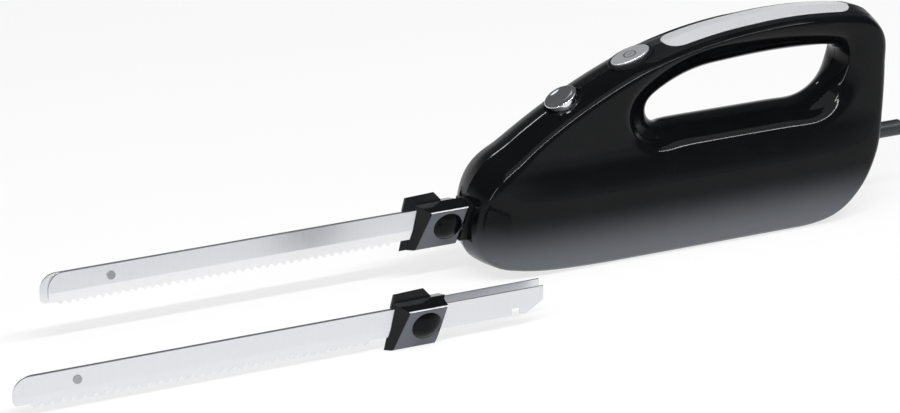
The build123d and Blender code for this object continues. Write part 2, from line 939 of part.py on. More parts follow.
def gear_frame():
    x_range, y_range = (frame_front, frame_back), (-frame_outer, frame_outer)
    frame = block(x_range, y_range, (frame_floor, frame_floor + frame_floor_thickness))
    for inner, outer in ((-frame_outer, -frame_inner), (frame_inner, frame_outer)):
        frame = frame + block(x_range, (inner, outer), (frame_floor, frame_top))
    for place in (front_bearing_place, middle_bearing_place):
        low, high = place - slip, place + bearing_length + slip
        if place == front_bearing_place:
            low = frame_front
        else:
            high = frame_back
        frame = frame + block((low, high), y_range, (frame_floor, frame_wall_top))
        frame = frame - rod(bearing_radius, (low, 0, motor_height), (high, 0, motor_height))
    start, end = (gear_place, -body_width, gear_height), (gear_place, body_width, gear_height)
    return frame - rod(axle_radius + axle_gap, start, end)


def gear_axle():
    reach = frame_outer
    return rod(axle_radius, (gear_place, -reach, gear_height), (gear_place, reach, gear_height))


def drive_gear():
    # a spur gear with a gap at its lowest point, where the worm meets it
    tooth_turn = 2 * pi / gear_teeth
    tip, root = gear_radius + gear_addendum, gear_radius - gear_dedendum
    corners = [
        (root, -gear_root_share),
        (tip, -gear_tip_share / 2),
        (tip, gear_tip_share / 2),
        (root, gear_root_share),
    ]
    points = []
    for i in range(gear_teeth):
        for radius, share in corners:
            angle = (i + 1 / 2 + share) * tooth_turn - pi / 2
            points.append((gear_place + radius * cos(angle), gear_height + radius * sin(angle)))
    gear = side_plate(points, (-gear_width / 2, gear_width / 2))
    return gear - gear_axle()


def near_eccentric(side):
    # the disc's middle is behind the axle for the near one, ahead of it for the far one
    middle = gear_place + side * throw
    start, end = (middle, -eccentric_start, gear_height), (middle, -eccentric_end, gear_height)
    disc = rod(eccentric_radius, start, end)
    start, end = (gear_place, -eccentric_end, gear_height), (gear_place, rib_gap - frame_inner, gear_height)
    return disc + rod(eccentric_hub, start, end) - gear_axle()


def near_carrier():
    # the yoke round the eccentric, a bar forward, and the block that holds the blade's shank
    middle = gear_place + throw
    plate = (-shank_offset - carrier_plate / 2, -shank_offset + carrier_plate / 2)
    half_x = eccentric_radius + yoke_slack
    half_z = eccentric_radius + throw + yoke_lift_slack
    outer_x, outer_z = half_x + yoke_wall, half_z + yoke_wall
    yoke_x, yoke_z = (middle - outer_x, middle + outer_x), (gear_height - outer_z, gear_height + outer_z)
    yoke = block(yoke_x, plate, yoke_z)
    yoke = yoke.fillet(yoke_wall, yoke.edges().filter_by(Axis.Y))
    window = (gear_height - half_z, gear_height + half_z)
    yoke = yoke - block((middle - half_x, middle + half_x), (-carrier_outer, 0), window)
    bar = block((carrier_back - rib, middle - half_x), plate, (carrier_bar_floor, carrier_roof))
    y_range = (-carrier_outer, -carrier_inner)
    holder = block((carrier_front, carrier_back), y_range, (carrier_floor, carrier_roof))
    half_slot = blade_thickness / 2 + socket_gap
    slot = (-shank_offset - half_slot, -shank_offset + half_slot)
    holder = holder - block((carrier_front, shank_end + socket_gap), slot, (shank_low, shank_high))
    half_hook = latch_width / 2 + socket_gap
    x_range = (notch_front, notch_front + notch_width)
    hole = (-shank_offset - half_hook, -shank_offset + half_hook)
    holder = holder - block(x_range, hole, (carrier_floor, shank_bottom + notch_depth))
    return yoke + bar + (holder - latch_rivet())


def latch_rivet():
    start = (latch_rivet_place, -shank_offset, carrier_floor - latch_thickness / 2)
    end = (latch_rivet_place, -shank_offset, carrier_floor + latch_rivet_height)
    return rod(latch_rivet_radius, start, end)


def near_latch():
    # a leaf spring under the carrier: its hook stands in the shank's notch, its tab reaches out
    half = latch_width / 2
    middle = (-shank_offset - half, -shank_offset + half)
    z_range = (carrier_floor - latch_thickness, carrier_floor)
    leaf = block((latch_front, latch_back), middle, z_range)
    tab = block((tab_front, latch_back), (-tab_reach, -shank_offset), z_range)
    hook_range = (notch_front + hook_gap, notch_front + notch_width - hook_gap)
    hook = block(hook_range, middle, (carrier_floor - latch_thickness, shank_bottom + hook_rise))
    return leaf + tab + hook + latch_rivet()


def worm():
    # a right-hand screw thread that meets the gap at the bottom of the gear
    start = worm_front + worm_lead / 2
    length = worm_back - worm_front - worm_lead
    root, tip = worm_radius - worm_dedendum, worm_radius + worm_addendum
    slope = tan(radians(worm_flank))
    half = worm_thread_share * worm_lead / 2
    path = Helix(worm_lead, length, root)
    across = Plane(origin=(root, 0, 0), x_dir=(1, 0, 0), z_dir=(0, 1, 0))
    low, high = half + worm_dedendum * slope, half - worm_addendum * slope
    outline = Polyline((-seat, low), (tip - root, high), (tip - root, -high), (-seat, -low), close=True)
    thread = sweep(across * make_face(outline), path=path, is_frenet=True)
    turn = full_turn / 4 - full_turn * (gear_place - start) / worm_lead
    axis = Plane(origin=(start, 0, motor_height), x_dir=(0, 1, 0), z_dir=(1, 0, 0))
    core = rod(root, (worm_front, 0, motor_height), (worm_back, 0, motor_height))
    return core + axis * (Rot(0, 0, turn) * thread) - motor_shaft()


def motor_shaft():
    return rod(shaft_radius, (shaft_front, 0, motor_height), (shaft_back, 0, motor_height))


def motor_tube(outer, inner, front, back):
    return tube(outer, inner, (front, 0, motor_height), (back, 0, motor_height))


def bearing(place):
    return motor_tube(bearing_radius, shaft_radius + axle_gap, place, place + bearing_length)


def round_motor(shape, count):
    # copies of a shape, turned about the motor's line
    line = Axis((0, 0, motor_height), (1, 0, 0))
    return [shape.rotate(line, i * full_turn / count) for i in range(count)]


def cooling_fan():
    back = fan_place + fan_length
    fan = motor_tube(fan_hub_radius, shaft_radius, fan_place, back)
    fan = fan + motor_tube(fan_radius, shaft_radius, back - fan_disc, back)
    z_range = (motor_height + fan_hub_radius - seat, motor_height + fan_radius - seat)
    blade = block((fan_place, back - seat), (-fan_blade / 2, fan_blade / 2), z_range)
    for copy in round_motor(blade, fan_blades):
        fan = fan + copy
    return fan


def armature_slot(depth, front, back):
    z_range = (motor_height + armature_radius - depth, motor_height + armature_radius + overrun)
    return block((front, back), (-slot_width / 2, slot_width / 2), z_range)


def armature_core():
    front, back = stator_front, stator_front + stator_length
    core = motor_tube(armature_radius, shaft_radius, front, back)
    for slot in round_motor(armature_slot(slot_depth, front, back), armature_slots):
        core = core - slot
    return core


def armature_winding():
    # bars in the core's slots, joined by a bundle of end turns on each side
    front, back = stator_front, stator_front + stator_length
    winding = motor_tube(winding_radius, shaft_radius, front - winding_length, front)
    winding = winding + motor_tube(winding_radius, shaft_radius, back, back + winding_length)
    inside = winding_length / 2
    bar = armature_slot(slot_depth, front - inside, back + inside)
    bar = bar & motor_tube(winding_radius - slip, shaft_radius, front - inside, back + inside)
    for copy in round_motor(bar, armature_slots):
        winding = winding + copy
    return winding


def commutator():
    back = commutator_front + commutator_length
    drum = motor_tube(commutator_radius, shaft_radius, commutator_front, back)
    z_range = (motor_height + commutator_radius - bar_gap_depth, motor_height + commutator_radius + overrun)
    gap = block((commutator_front, back), (-bar_gap / 2, bar_gap / 2), z_range)
    for copy in round_motor(gap, commutator_bars):
        drum = drum - copy
    return drum


def motor_screw_holes(radius, front, back):
    shapes = []
    for side in (-1, 1):
        y, z = side * motor_screw_offset, motor_height + side * motor_screw_offset
        shapes.append(rod(radius, (front, y, z), (back, y, z)))
    return shapes


def stator_core():
    front, back = stator_front, stator_front + stator_length
    core = motor_tube(stator_radius, stator_radius - stator_ring, front, back)
    ring = motor_tube(stator_radius - stator_ring / 2, armature_radius + air_gap, front, back)
    pole = block((front, back), (-pole_half_width, pole_half_width), (0, motor_height + stator_radius))
    core = core + (ring & pole)
    for hole in motor_screw_holes(screw_radius, front, back):
        core = core - hole
    return core


def field_coils():
    # one flat wound ring round each pole
    front, back = stator_front, stator_front + stator_length
    inner = pole_half_width + rib_gap
    outer = inner + coil_build - slip
    coils = []
    for low in (coil_low, -coil_low - coil_build):
        z_range = (motor_height + low, motor_height + low + coil_build)
        coil = block((front - coil_overhang, back + coil_overhang), (-outer, outer), z_range)
        coil = coil - block((front - rib_gap, back + rib_gap), (-inner, inner), z_range)
        coils.append(coil.solid())
    return coils


def motor_bracket():
    x_range = (bracket_place, bracket_place + bracket_thickness)
    z_range = (motor_height - bracket_half_height, motor_height + bracket_half_height)
    plate = block(x_range, (-bracket_half_width, bracket_half_width), z_range)
    plate = plate - rod(bearing_radius, (x_range[0], 0, motor_height), (x_range[1], 0, motor_height))
    for hole in motor_screw_holes(screw_radius, *x_range):
        plate = plate - hole
    return plate


def motor_screws():
    back = bracket_place + bracket_thickness
    shanks = motor_screw_holes(screw_radius, motor_screw_end, back)
    heads = motor_screw_holes(screw_head_radius, back, back + screw_head)
    return [(shank + head).solid() for shank, head in zip(shanks, heads)]


def brush_parts():
    # a carbon brush on each side of the commutator, and its holder on a strip from the bracket
    start = commutator_radius + brush_gap
    x_range = (brush_place - brush_width / 2, brush_place + brush_width / 2)
    z_range = (motor_height - brush_height / 2, motor_height + brush_height / 2)
    brush = block(x_range, (-holder_end, -start), z_range)
    outer_x = (x_range[0] - holder_wall, x_range[1] + holder_wall)
    outer_z = (z_range[0] - holder_wall, z_range[1] + holder_wall)
    end = -holder_end - slip
    holder = block(outer_x, (end, -holder_start), outer_z) - brush
    strip = block((outer_x[1] - seat, bracket_place), (end, end + holder_strip), outer_z)
    holder = holder + strip
    return [brush, far_side(brush)], [holder, far_side(holder)]


def top_edges(shape, plane):
    # the edges that stand highest along a plane's normal
    return shape.edges().group_by(lambda edge: plane.to_local_coords(edge.center()).Z)[-1]


def release_parts():
    # button with its stem, the plunger under it, and the spring between button and shelf
    plane = crest_plane(release_place)
    cap = post(plane, release_radius, -release_depth, release_proud)
    cap = cap.fillet(rim_radius, top_edges(cap, plane))
    place = release_proud - release_dish_depth + release_dish_radius
    cap = cap - plane * (Pos(0, 0, place) * Sphere(release_dish_radius))
    stem_end = -shelf_under - beam_depth / 2
    button = cap + post(plane, stem_radius, stem_end, -release_depth)
    outer, beam_top = leg_inner + leg_thickness, -shelf_under - slip
    beam = crest_block(plane, beam_half_length, outer, beam_top - beam_depth, beam_top)
    beam = beam - post(plane, stem_radius, stem_end, 0)
    foot = carrier_floor + leg_gap
    # the arms pass just under the front edge of the shelf
    arm_top = plane.from_local_coords((-shelf_half_length, 0, -shelf_under)).Z - leg_gap
    arm_bottom = arm_top - arm_depth
    arm_end = plane.from_local_coords((0, 0, beam_top - beam_depth)).X
    for y_range in ((-outer, -leg_inner), (leg_inner, outer)):
        beam = beam + block((leg_front, arm_end), y_range, (arm_bottom, arm_top))
        beam = beam + block((leg_front, leg_back), y_range, (foot, arm_top))
    spring = post(plane, coil_radius + coil_wall, -shelf_depth, -release_depth)
    spring = spring - post(plane, coil_radius, -shelf_depth, -release_depth)
    bezel = post(plane, release_bezel_radius, -bezel_depth, -bezel_sunk)
    bezel = bezel - post(plane, release_radius + slip, -bezel_depth, -bezel_sunk)
    return {
        "release_button": button,
        "release_plunger": beam,
        "release_spring": spring,
        "release_bezel": bezel,
    }


def power_parts():
    # oval button with its mark, and the switch on the shelf under it
    plane = crest_plane(power_place)
    cap = oval(plane, power_half_length, power_half_width, -power_depth, power_proud)
    cap = cap.fillet(rim_radius, top_edges(cap, plane))
    low, high = power_proud - mark_height, power_proud
    ring = post(plane, mark_radius, low, high) - post(plane, mark_radius - mark_line, low, high)
    bar = crest_block(plane, mark_radius / 2, mark_line / 2, low, high)
    switch_top = -shelf_depth + switch_height
    actuator_top = switch_top + actuator_rise
    button = cap - ring - bar + post(plane, stem_radius, actuator_top, -power_depth)
    bezel_top = power_bezel_proud
    inner_x, inner_y = power_half_length + slip, power_half_width + slip
    bezel = oval(plane, inner_x + power_band, inner_y + power_band, -bezel_depth, bezel_top)
    bezel = bezel - oval(plane, inner_x, inner_y, -bezel_depth, bezel_top)
    spring = post(plane, coil_radius + coil_wall, switch_top, -power_depth)
    spring = spring - post(plane, coil_radius, switch_top, -power_depth)
    body = crest_block(plane, switch_half_length, switch_half_width, -shelf_depth, switch_top)
    well = -shelf_depth + holder_wall
    body = body - post(plane, actuator_radius + slip, well, switch_top)
    actuator = post(plane, actuator_radius, well + power_travel + slip, actuator_top)
    return {
        "power_button": button,
        "power_mark": [ring.solid(), bar.solid()],
        "power_bezel": bezel,
        "power_spring": spring,
        "power_switch": body,
        "switch_actuator": actuator,
    }


def trim_parts():
    # the satin strip along the top and the bright plate let into it
    strip = plan_rounded(trim_front, trim_back, trim_half_width, trim_end_radius, 0)
    strip = crest_skin(strip, 0, trim_depth)
    strip = strip - power_room(crest_plane(power_place))
    end_radius = insert_half_width - seat
    plate = plan_rounded(insert_front, insert_back, insert_half_width, end_radius, 0)
    room = plan_rounded(insert_front, insert_back, insert_half_width, end_radius, seat)
    strip = strip - crest_skin(room, -overrun, insert_depth)
    return {"top_trim": strip, "trim_insert": crest_skin(plate, -insert_proud, insert_depth)}


def save_sets():
    fine = blade_set(fine_pitch, fine_depth, fine_count, fine_tip_share)
    coarse = blade_set(coarse_pitch, coarse_depth, coarse_count, coarse_tip_share)
    for name, shape in fine.items():
        ahead = -stroke if name.startswith("far") else 0
        save(Pos(ahead, 0, 0) * shape, name)
    for name, shape in coarse.items():
        slid = spare_slid if name.startswith("far") else 0
        save(Pos(slid - spare_ahead, -spare_aside, -guard_bottom) * shape, "spare_" + name)


def save_drive():
    brushes, holders = brush_parts()
    ahead = Pos(-stroke, 0, 0)
    save(gear_frame(), "gear_frame")
    save(gear_axle(), "gear_axle")
    save(drive_gear(), "drive_gear")
    save(near_eccentric(1), "near_eccentric")
    save(far_side(near_eccentric(-1)), "far_eccentric")
    save(near_carrier(), "near_carrier")
    save(ahead * far_side(near_carrier()), "far_carrier")
    save(near_latch(), "near_latch")
    save(ahead * far_side(near_latch()), "far_latch")
    save(worm(), "worm")
    save(motor_shaft(), "motor_shaft")
    save(armature_core(), "armature_core")
    save(armature_winding(), "armature_winding")
    save(commutator(), "commutator")
    save(cooling_fan(), "cooling_fan")
    save(bearing(front_bearing_place), "front_bearing")
    save(bearing(middle_bearing_place), "worm_bearing")
    save(bearing(back_bearing_place), "rear_bearing")
    save(stator_core(), "stator_core")
    save(field_coils(), "field_coils")
    save(motor_bracket(), "motor_bracket")
    save(motor_screws(), "motor_screws")
    save(holders, "brush_holders")
    save(brushes, "brushes")


def save_body():
    for name, shape in {**release_parts(), **power_parts(), **trim_parts()}.items():
        save(shape, name)
    save(housing_screws(), "housing_screws")
    save(blade_guide(), "blade_guide")
    save(cord_guard(), "cord_guard")
    save(cord_clamp(), "cord_clamp")
    save(clamp_screws(), "clamp_screws")
    shell = near_shell()
    save(drilled(shell, pilot_cut), "left_shell")
    save(far_side(drilled(shell, through_cut)), "right_shell")


save_sets()
save_drive()
save_body()
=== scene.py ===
import json
import math
import bmesh
import bpy
from mathutils import Matrix, Vector


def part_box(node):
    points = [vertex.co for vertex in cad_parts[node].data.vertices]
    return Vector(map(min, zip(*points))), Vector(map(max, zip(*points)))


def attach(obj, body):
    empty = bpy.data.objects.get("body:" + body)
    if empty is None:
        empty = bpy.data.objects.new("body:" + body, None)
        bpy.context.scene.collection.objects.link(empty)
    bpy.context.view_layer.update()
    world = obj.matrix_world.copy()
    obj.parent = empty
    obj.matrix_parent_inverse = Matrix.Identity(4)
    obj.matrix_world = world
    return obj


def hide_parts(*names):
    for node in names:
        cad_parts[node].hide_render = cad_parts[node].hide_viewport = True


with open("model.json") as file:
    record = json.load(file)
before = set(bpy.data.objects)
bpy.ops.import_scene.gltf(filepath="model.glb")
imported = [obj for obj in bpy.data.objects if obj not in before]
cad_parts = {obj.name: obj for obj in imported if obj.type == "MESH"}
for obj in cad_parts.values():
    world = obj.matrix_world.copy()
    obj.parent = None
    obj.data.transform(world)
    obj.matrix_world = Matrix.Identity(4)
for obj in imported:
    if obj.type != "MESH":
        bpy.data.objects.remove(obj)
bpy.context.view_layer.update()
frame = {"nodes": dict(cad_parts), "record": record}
mm = 0.001


# materials: patterns read Object coordinates, in metres, and the guards' painted reflection and
# painted highlight read the normal

grain = {
    "noiseRange": (0.3, 0.7), "toneRange": (0.35, 0.65),  # the part of a noise that is drawn out
    "cloudScale": 55, "cloudDetail": 4, "plasticGloss": (0.9, 1.15),
    "pitScale": 2600, "pitDetail": 2, "pitDepth": 0.00004,
    "lineDetail": 4, "lineDepth": 0.00002, "metalGloss": (0.85, 1.2),
}
even, alongX = (1, 1, 1), (3, 60, 60)  # how a noise is drawn out


def newMaterial(name, color, roughness, metallic=0.0):
    material = bpy.data.materials.new(name)
    material.use_nodes = True
    shader = material.node_tree.nodes["Principled BSDF"]
    shader.inputs["Base Color"].default_value = (*color, 1)
    shader.inputs["Roughness"].default_value = roughness
    shader.inputs["Metallic"].default_value = metallic
    return material, material.node_tree, shader


def objectNoise(tree, stretch, scale, detail=3.0):
    # a noise on Object coordinates, finer along an axis with a higher stretch
    where = tree.nodes.new("ShaderNodeTexCoord")
    mapping = tree.nodes.new("ShaderNodeMapping")
    mapping.inputs["Scale"].default_value = stretch
    noise = tree.nodes.new("ShaderNodeTexNoise")
    noise.inputs["Scale"].default_value = scale
    noise.inputs["Detail"].default_value = detail
    tree.links.new(where.outputs["Object"], mapping.inputs["Vector"])
    tree.links.new(mapping.outputs["Vector"], noise.inputs["Vector"])
    return noise.outputs["Fac"]


def mapped(tree, value, start, end, low=0.0, high=1.0, kind="LINEAR"):
    # a value that runs from low to high while the given one runs from start to end
    ramp = tree.nodes.new("ShaderNodeMapRange")
    ramp.interpolation_type = kind
    ramp.inputs["From Min"].default_value = start
    ramp.inputs["From Max"].default_value = end
    ramp.inputs["To Min"].default_value = low
    ramp.inputs["To Max"].default_value = high
    tree.links.new(value, ramp.inputs["Value"])
    return ramp.outputs["Result"]


def unevenGloss(tree, shader, noise, roughness, shares):
    low, high = (roughness * share for share in shares)
    gloss = mapped(tree, noise, *grain["noiseRange"], low, high)
    tree.links.new(gloss, shader.inputs["Roughness"])


def mixedColor(tree, shader, value, low, high):
    # two tones of one colour, mixed by a noise
    ramp = tree.nodes.new("ShaderNodeValToRGB")
    for stop, place, color in zip(ramp.color_ramp.elements, grain["toneRange"], (low, high)):
        stop.position = place
        stop.color = (*color, 1)
    tree.links.new(value, ramp.inputs["Fac"])
    tree.links.new(ramp.outputs["Color"], shader.inputs["Base Color"])


def raised(tree, shader, value, strength, distance):
    bump = tree.nodes.new("ShaderNodeBump")
    bump.inputs["Strength"].default_value = strength
    bump.inputs["Distance"].default_value = distance
    tree.links.new(value, bump.inputs["Height"])
    tree.links.new(bump.outputs["Normal"], shader.inputs["Normal"])


def plastic(name, color, roughness, pitted=0.0, specular=0.5, lighter=1.25):
    # moulded plastic: two close tones, uneven gloss and a fine moulded grain
    material, tree, shader = newMaterial(name, color, roughness)
    shader.inputs["Specular IOR Level"].default_value = specular
    cloud = objectNoise(tree, even, grain["cloudScale"], grain["cloudDetail"])
    mixedColor(tree, shader, cloud, color, tuple(c * lighter for c in color))
    unevenGloss(tree, shader, cloud, roughness, grain["plasticGloss"])
    if pitted:
        pits = objectNoise(tree, even, grain["pitScale"], grain["pitDetail"])
        raised(tree, shader, pits, pitted, grain["pitDepth"])
    return material


def metal(name, color, roughness, stretch=even, scale=400, brushed=0.0, darker=0.9, bare=1.0):
    # metal with grinding or drawing lines, or a metallic paint where it isn't all bare
    material, tree, shader = newMaterial(name, color, roughness, bare)
    lines = objectNoise(tree, stretch, scale, grain["lineDetail"])
    mixedColor(tree, shader, lines, tuple(c * darker for c in color), color)
    unevenGloss(tree, shader, lines, roughness, grain["metalGloss"])
    if brushed:
        raised(tree, shader, lines, brushed, grain["lineDepth"])
    return material


def partsOf(tree, space):
    # the three parts of a place, a normal or a direction
    where = tree.nodes.new("ShaderNodeTexCoord")
    parts = tree.nodes.new("ShaderNodeSeparateXYZ")
    tree.links.new(where.outputs[space], parts.inputs["Vector"])
    return parts.outputs


def layTone(tree, shader, mask, color, under):
    # mixes a plain tone into the base colour, where the mask is 0 (under) or 1
    mix = tree.nodes.new("ShaderNodeMix")
    mix.data_type = "RGBA"
    own, laid = ("B", "A") if under else ("A", "B")
    mix.inputs[laid].default_value = (*color, 1)
    tree.links.new(mask, mix.inputs["Factor"])
    tree.links.new(shader.inputs["Base Color"].links[0].from_socket, mix.inputs[own])
    tree.links.new(mix.outputs["Result"], shader.inputs["Base Color"])


def toneBelow(material, color, low, high):
    # another tone at the foot of a piece, gone at the upper of two heights in metres
    tree = material.node_tree
    mask = mapped(tree, partsOf(tree, "Object")["Z"], low, high, kind="SMOOTHSTEP")
    layTone(tree, tree.nodes["Principled BSDF"], mask, color, True)


# painted reflection: the grey laid into the body's colour towards its foot stands in for the floor
# mirrored there
bodyFootReflection = {"color": (0.150, 0.160, 0.178), "low": -0.002, "high": 0.036}


def bodyBlack():
    # deep black gloss with a painted reflection: it greys towards the foot, in place of the floor
    # mirrored in the lower side
    material = plastic("glossBlack", (0.0030, 0.0032, 0.0037), 0.075, specular=0.14)
    toneBelow(material, **bodyFootReflection)
    return material


guardPaintedLight = {
    # painted light, where a face's normal has z times y squared from the first value on, in full at
    # the second: a painted reflection on the leaning flats, a painted highlight on the long upper
    # edges
    "flatsPaintedReflection": (-0.12, -0.20, (0.120, 0.128, 0.145)),
    "edgesPaintedHighlight": (0.20, 0.30, (0.62, 0.63, 0.65)),
}


def guardBlack():
    # black gloss on the guard, with painted light: its two leaning flats get a paler grey as a
    # painted reflection of the floor, and its long upper edges a bright tone as a painted highlight
    material = plastic("guardBlack", (0.0030, 0.0034, 0.0042), 0.13, specular=0.22)
    tree = material.node_tree
    normal = partsOf(tree, "Normal")
    facing = normal["Z"]
    for _ in range(2):
        step = tree.nodes.new("ShaderNodeMath")
        step.operation = "MULTIPLY"
        tree.links.new(facing, step.inputs[0])
        tree.links.new(normal["Y"], step.inputs[1])
        facing = step.outputs[0]
    # lays the painted reflection and the painted highlight into the base colour
    for start, end, color in guardPaintedLight.values():
        layTone(tree, tree.nodes["Principled BSDF"], mapped(tree, facing, start, end), color, False)
    return material


steelGrind = {
    "stretch": (60, 6, 2), "scale": 60, "brushed": 0.05, "darker": 0.965, "roughness": 0.34,
    "edgeColor": (0.90, 0.90, 0.91), "edgeBlend": 0.0002,
}


def bladeSteel(name, color, edgeTop=None):
    # ground sheet steel with fine lines across it, brighter on the edge's bevel where there is one
    g = steelGrind
    lines = (g["stretch"], g["scale"], g["brushed"], g["darker"])
    material = metal(name, color, g["roughness"], *lines)
    if edgeTop:
        toneBelow(material, g["edgeColor"], edgeTop - g["edgeBlend"], edgeTop + g["edgeBlend"])
    return material


print("materials")
finishes = {
    "gloss_black": bodyBlack(),
    "satin_black": plastic("satinBlack", (0.0060, 0.0064, 0.0074), 0.34, pitted=0.2, specular=0.2),
    "guard_black": guardBlack(),
    "plug_black": plastic("plugBlack", (0.0030, 0.0033, 0.0040), 0.11, specular=0.11),
    "silver_plate": metal(
        "silverPlate", (0.74, 0.75, 0.765), 0.30, alongX, scale=160, darker=0.995, bare=0.35),
    "chrome": metal("chrome", (0.80, 0.82, 0.85), 0.07, even, scale=90, darker=0.95),
    "mark_grey": plastic("markGrey", (0.035, 0.036, 0.04), 0.4),
    "blade_steel": bladeSteel("bladeSteel", (0.79, 0.80, 0.83)),
    "edge_steel": bladeSteel("edgeSteel", (0.84, 0.85, 0.88), edgeTop=0.0307),
    "rivet_steel": metal("rivetSteel", (0.42, 0.42, 0.44), 0.3, even, scale=300, brushed=0.05),
    "silver_cap": metal(
        "silverCap", (0.78, 0.79, 0.81), 0.2, alongX, scale=40, darker=0.98, bare=0.7),
    "hard_steel": metal(
        "hardSteel", (0.52, 0.53, 0.55), 0.34, (60, 4, 4), scale=60, brushed=0.15),
    "spring_steel": metal(
        "springSteel", (0.47, 0.48, 0.51), 0.30, (4, 4, 60), scale=60, brushed=0.1),
    "screw_steel": metal("screwSteel", (0.58, 0.58, 0.57), 0.33, even, scale=300, brushed=0.05),
    "laminated_iron": metal(
        "laminatedIron", (0.26, 0.26, 0.28), 0.48, (120, 1, 1), scale=12, brushed=0.5, darker=0.7),
    "copper_wire": metal(
        "copperWire", (0.62, 0.27, 0.10), 0.35, alongX, scale=30, brushed=0.6, darker=0.7),
    "copper_bars": metal(
        "copperBars", (0.70, 0.36, 0.18), 0.28, (30, 4, 4), scale=60, brushed=0.1),
    "bronze": metal("bronze", (0.55, 0.38, 0.17), 0.42, even, scale=900, brushed=0.2),
    "brass": metal("brass", (0.72, 0.55, 0.24), 0.3, even, scale=200, brushed=0.05),
    "carbon": plastic("carbon", (0.02, 0.02, 0.02), 0.6, pitted=0.3),
    "white_nylon": plastic("whiteNylon", (0.72, 0.71, 0.65), 0.45, pitted=0.2, lighter=1.08),
    "grey_nylon": plastic("greyNylon", (0.22, 0.22, 0.22), 0.5, pitted=0.2),
    "soft_grey": plastic("softGrey", (0.020, 0.021, 0.023), 0.42, pitted=0.4),
}


def dress(piece, finish):
    piece.data.materials.clear()
    piece.data.materials.append(finishes[finish])


for row in frame["record"]["subparts"]:
    dress(frame["nodes"][row["node"]], row["material_slot"])


# body: the two moulded halves as one smooth skin each, with a real wall

bodyShape = {
    # in millimetres; "nose" is how far the front lies before the origin
    "length": 254.0, "height": 121.6, "halfWidth": 28.5, "nose": 143.4, "baseHalf": 55.0,
    "crownSlope": 0.296, "crownStep": 9.0, "crownRound": (1, 2), "planBlend": 7.0,
    "seam": 0.08, "seamBreak": 0.28, "wall": 2.6, "samples": 300, "arcSteps": 24, "baseSteps": 20,
    # rows from the seam over crown, edge, side, dish and lip
    "crownRows": 6, "edgeRows": 5, "sideRows": 24, "sideCrowd": 1.4, "dishRows": 9, "lipRows": 4,
    "edgeRound": 3.2, "edgeShare": 0.42, "dishRound": 6.0, "lipRound": 1.6, "lipShare": 0.45,
    # front of the base, round the nose, over the grip, down the back: length, height, crown share
    "outline": [
        (0.290, 0.001, 0.00), (0.209, 0.006, 0.05), (0.135, 0.015, 0.20), (0.075, 0.030, 0.50),
        (0.031, 0.060, 0.80), (0.006, 0.125, 1.00), (0.000, 0.226, 1.00), (0.005, 0.328, 1.00),
        (0.023, 0.430, 1.00), (0.096, 0.561, 1.00), (0.235, 0.741, 1.00), (0.377, 0.878, 1.00),
        (0.521, 0.959, 1.00), (0.667, 0.996, 1.00), (0.814, 1.000, 1.00), (0.918, 0.977, 1.00),
        (0.973, 0.920, 1.00), (0.997, 0.740, 1.00), (0.997, 0.592, 1.00), (0.990, 0.444, 1.00),
        (0.965, 0.250, 0.90), (0.906, 0.100, 0.50), (0.825, 0.012, 0.05),
    ],
    # share of the height, then of the half width
    "section": [
        (-0.050, 0.600), (0.100, 0.940), (0.220, 1.000), (0.340, 0.945), (0.430, 0.805),
        (0.500, 0.700), (0.580, 0.645), (0.800, 0.614), (1.060, 0.580),
    ],
    # share of the length, then of the half width
    "plan": [
        (-0.030, 0.460), (0.012, 0.560), (0.062, 0.790), (0.110, 0.920), (0.175, 0.990),
        (0.450, 1.020), (0.760, 1.010), (0.870, 0.955), (0.940, 0.850), (0.980, 0.660),
        (1.000, 0.380),
    ],
    # the grip opening: throat at the seam, lip at lipReach from it, and the shallow dish round it
    "opening": [
        (0.480, 0.571, 0.465, 0.532), (0.620, 0.570, 0.620, 0.532), (0.765, 0.569, 0.775, 0.533),
        (0.843, 0.606, 0.860, 0.570), (0.884, 0.710, 0.896, 0.710), (0.891, 0.765, 0.900, 0.800),
        (0.872, 0.806, 0.880, 0.862), (0.780, 0.817, 0.780, 0.892), (0.604, 0.806, 0.602, 0.899),
        (0.520, 0.780, 0.480, 0.850), (0.448, 0.712, 0.398, 0.745), (0.430, 0.610, 0.382, 0.580),
    ],
    "lipReach": 13.0, "dishSlope": 1.35, "dishLowShare": 0.34, "dishLow": 0.55, "dishHigh": 0.68,
    "dishStart": 4.0, "dishLeast": 0.8, "dishDepth": 0.6, "dishMargin": 2.2,
    "gripLine": ((-18.0, 83.0), (70.0, 86.0)),
    "tunnelSteps": (0.82, 0.68, 0.52, 0.36, 0.20, 0.08),
    # how often rings are relaxed, and how often a place is tried that hangs on itself
    "outlineSoft": 3, "lipSoft": 12, "dishSoft": 14, "tunnelSoft": (3, 8),
    "creaseTries": 6, "dishTries": 12,
}


def between(p, q, share):
    return tuple(a + (b - a) * share for a, b in zip(p, q))


def overTrio(a, b, c, t):
    # a value on its way from a by b to c, while t goes from 0 to 2
    low, high = (a, b) if t < 1 else (b, c)
    return low + (high - low) * (t % 1)


def arcPoints(a, b, c, count):
    # points on the arc through three points, without the last one
    (ax, ay), (bx, by), (cx, cy) = a, b, c
    d = 2 * (ax * (by - cy) + bx * (cy - ay) + cx * (ay - by))
    if abs(d) < 1e-7:  # in a straight line
        return [(ax + (cx - ax) * i / count, ay + (cy - ay) * i / count) for i in range(count)]
    aa, bb, cc = ax * ax + ay * ay, bx * bx + by * by, cx * cx + cy * cy
    x = (aa * (by - cy) + bb * (cy - ay) + cc * (ay - by)) / d
    y = (aa * (cx - bx) + bb * (ax - cx) + cc * (bx - ax)) / d
    start = math.atan2(ay - y, ax - x)
    sweep = math.atan2(cy - y, cx - x) - start
    middle = math.atan2(by - y, bx - x) - start
    turn = 2 * math.pi
    backwards = middle % turn > sweep % turn
    sweep = sweep % turn - (turn if backwards else 0)
    radius = math.hypot(ax - x, ay - y)
    angles = [start + sweep * i / count for i in range(count)]
    return [(x + radius * math.cos(angle), y + radius * math.sin(angle)) for angle in angles]


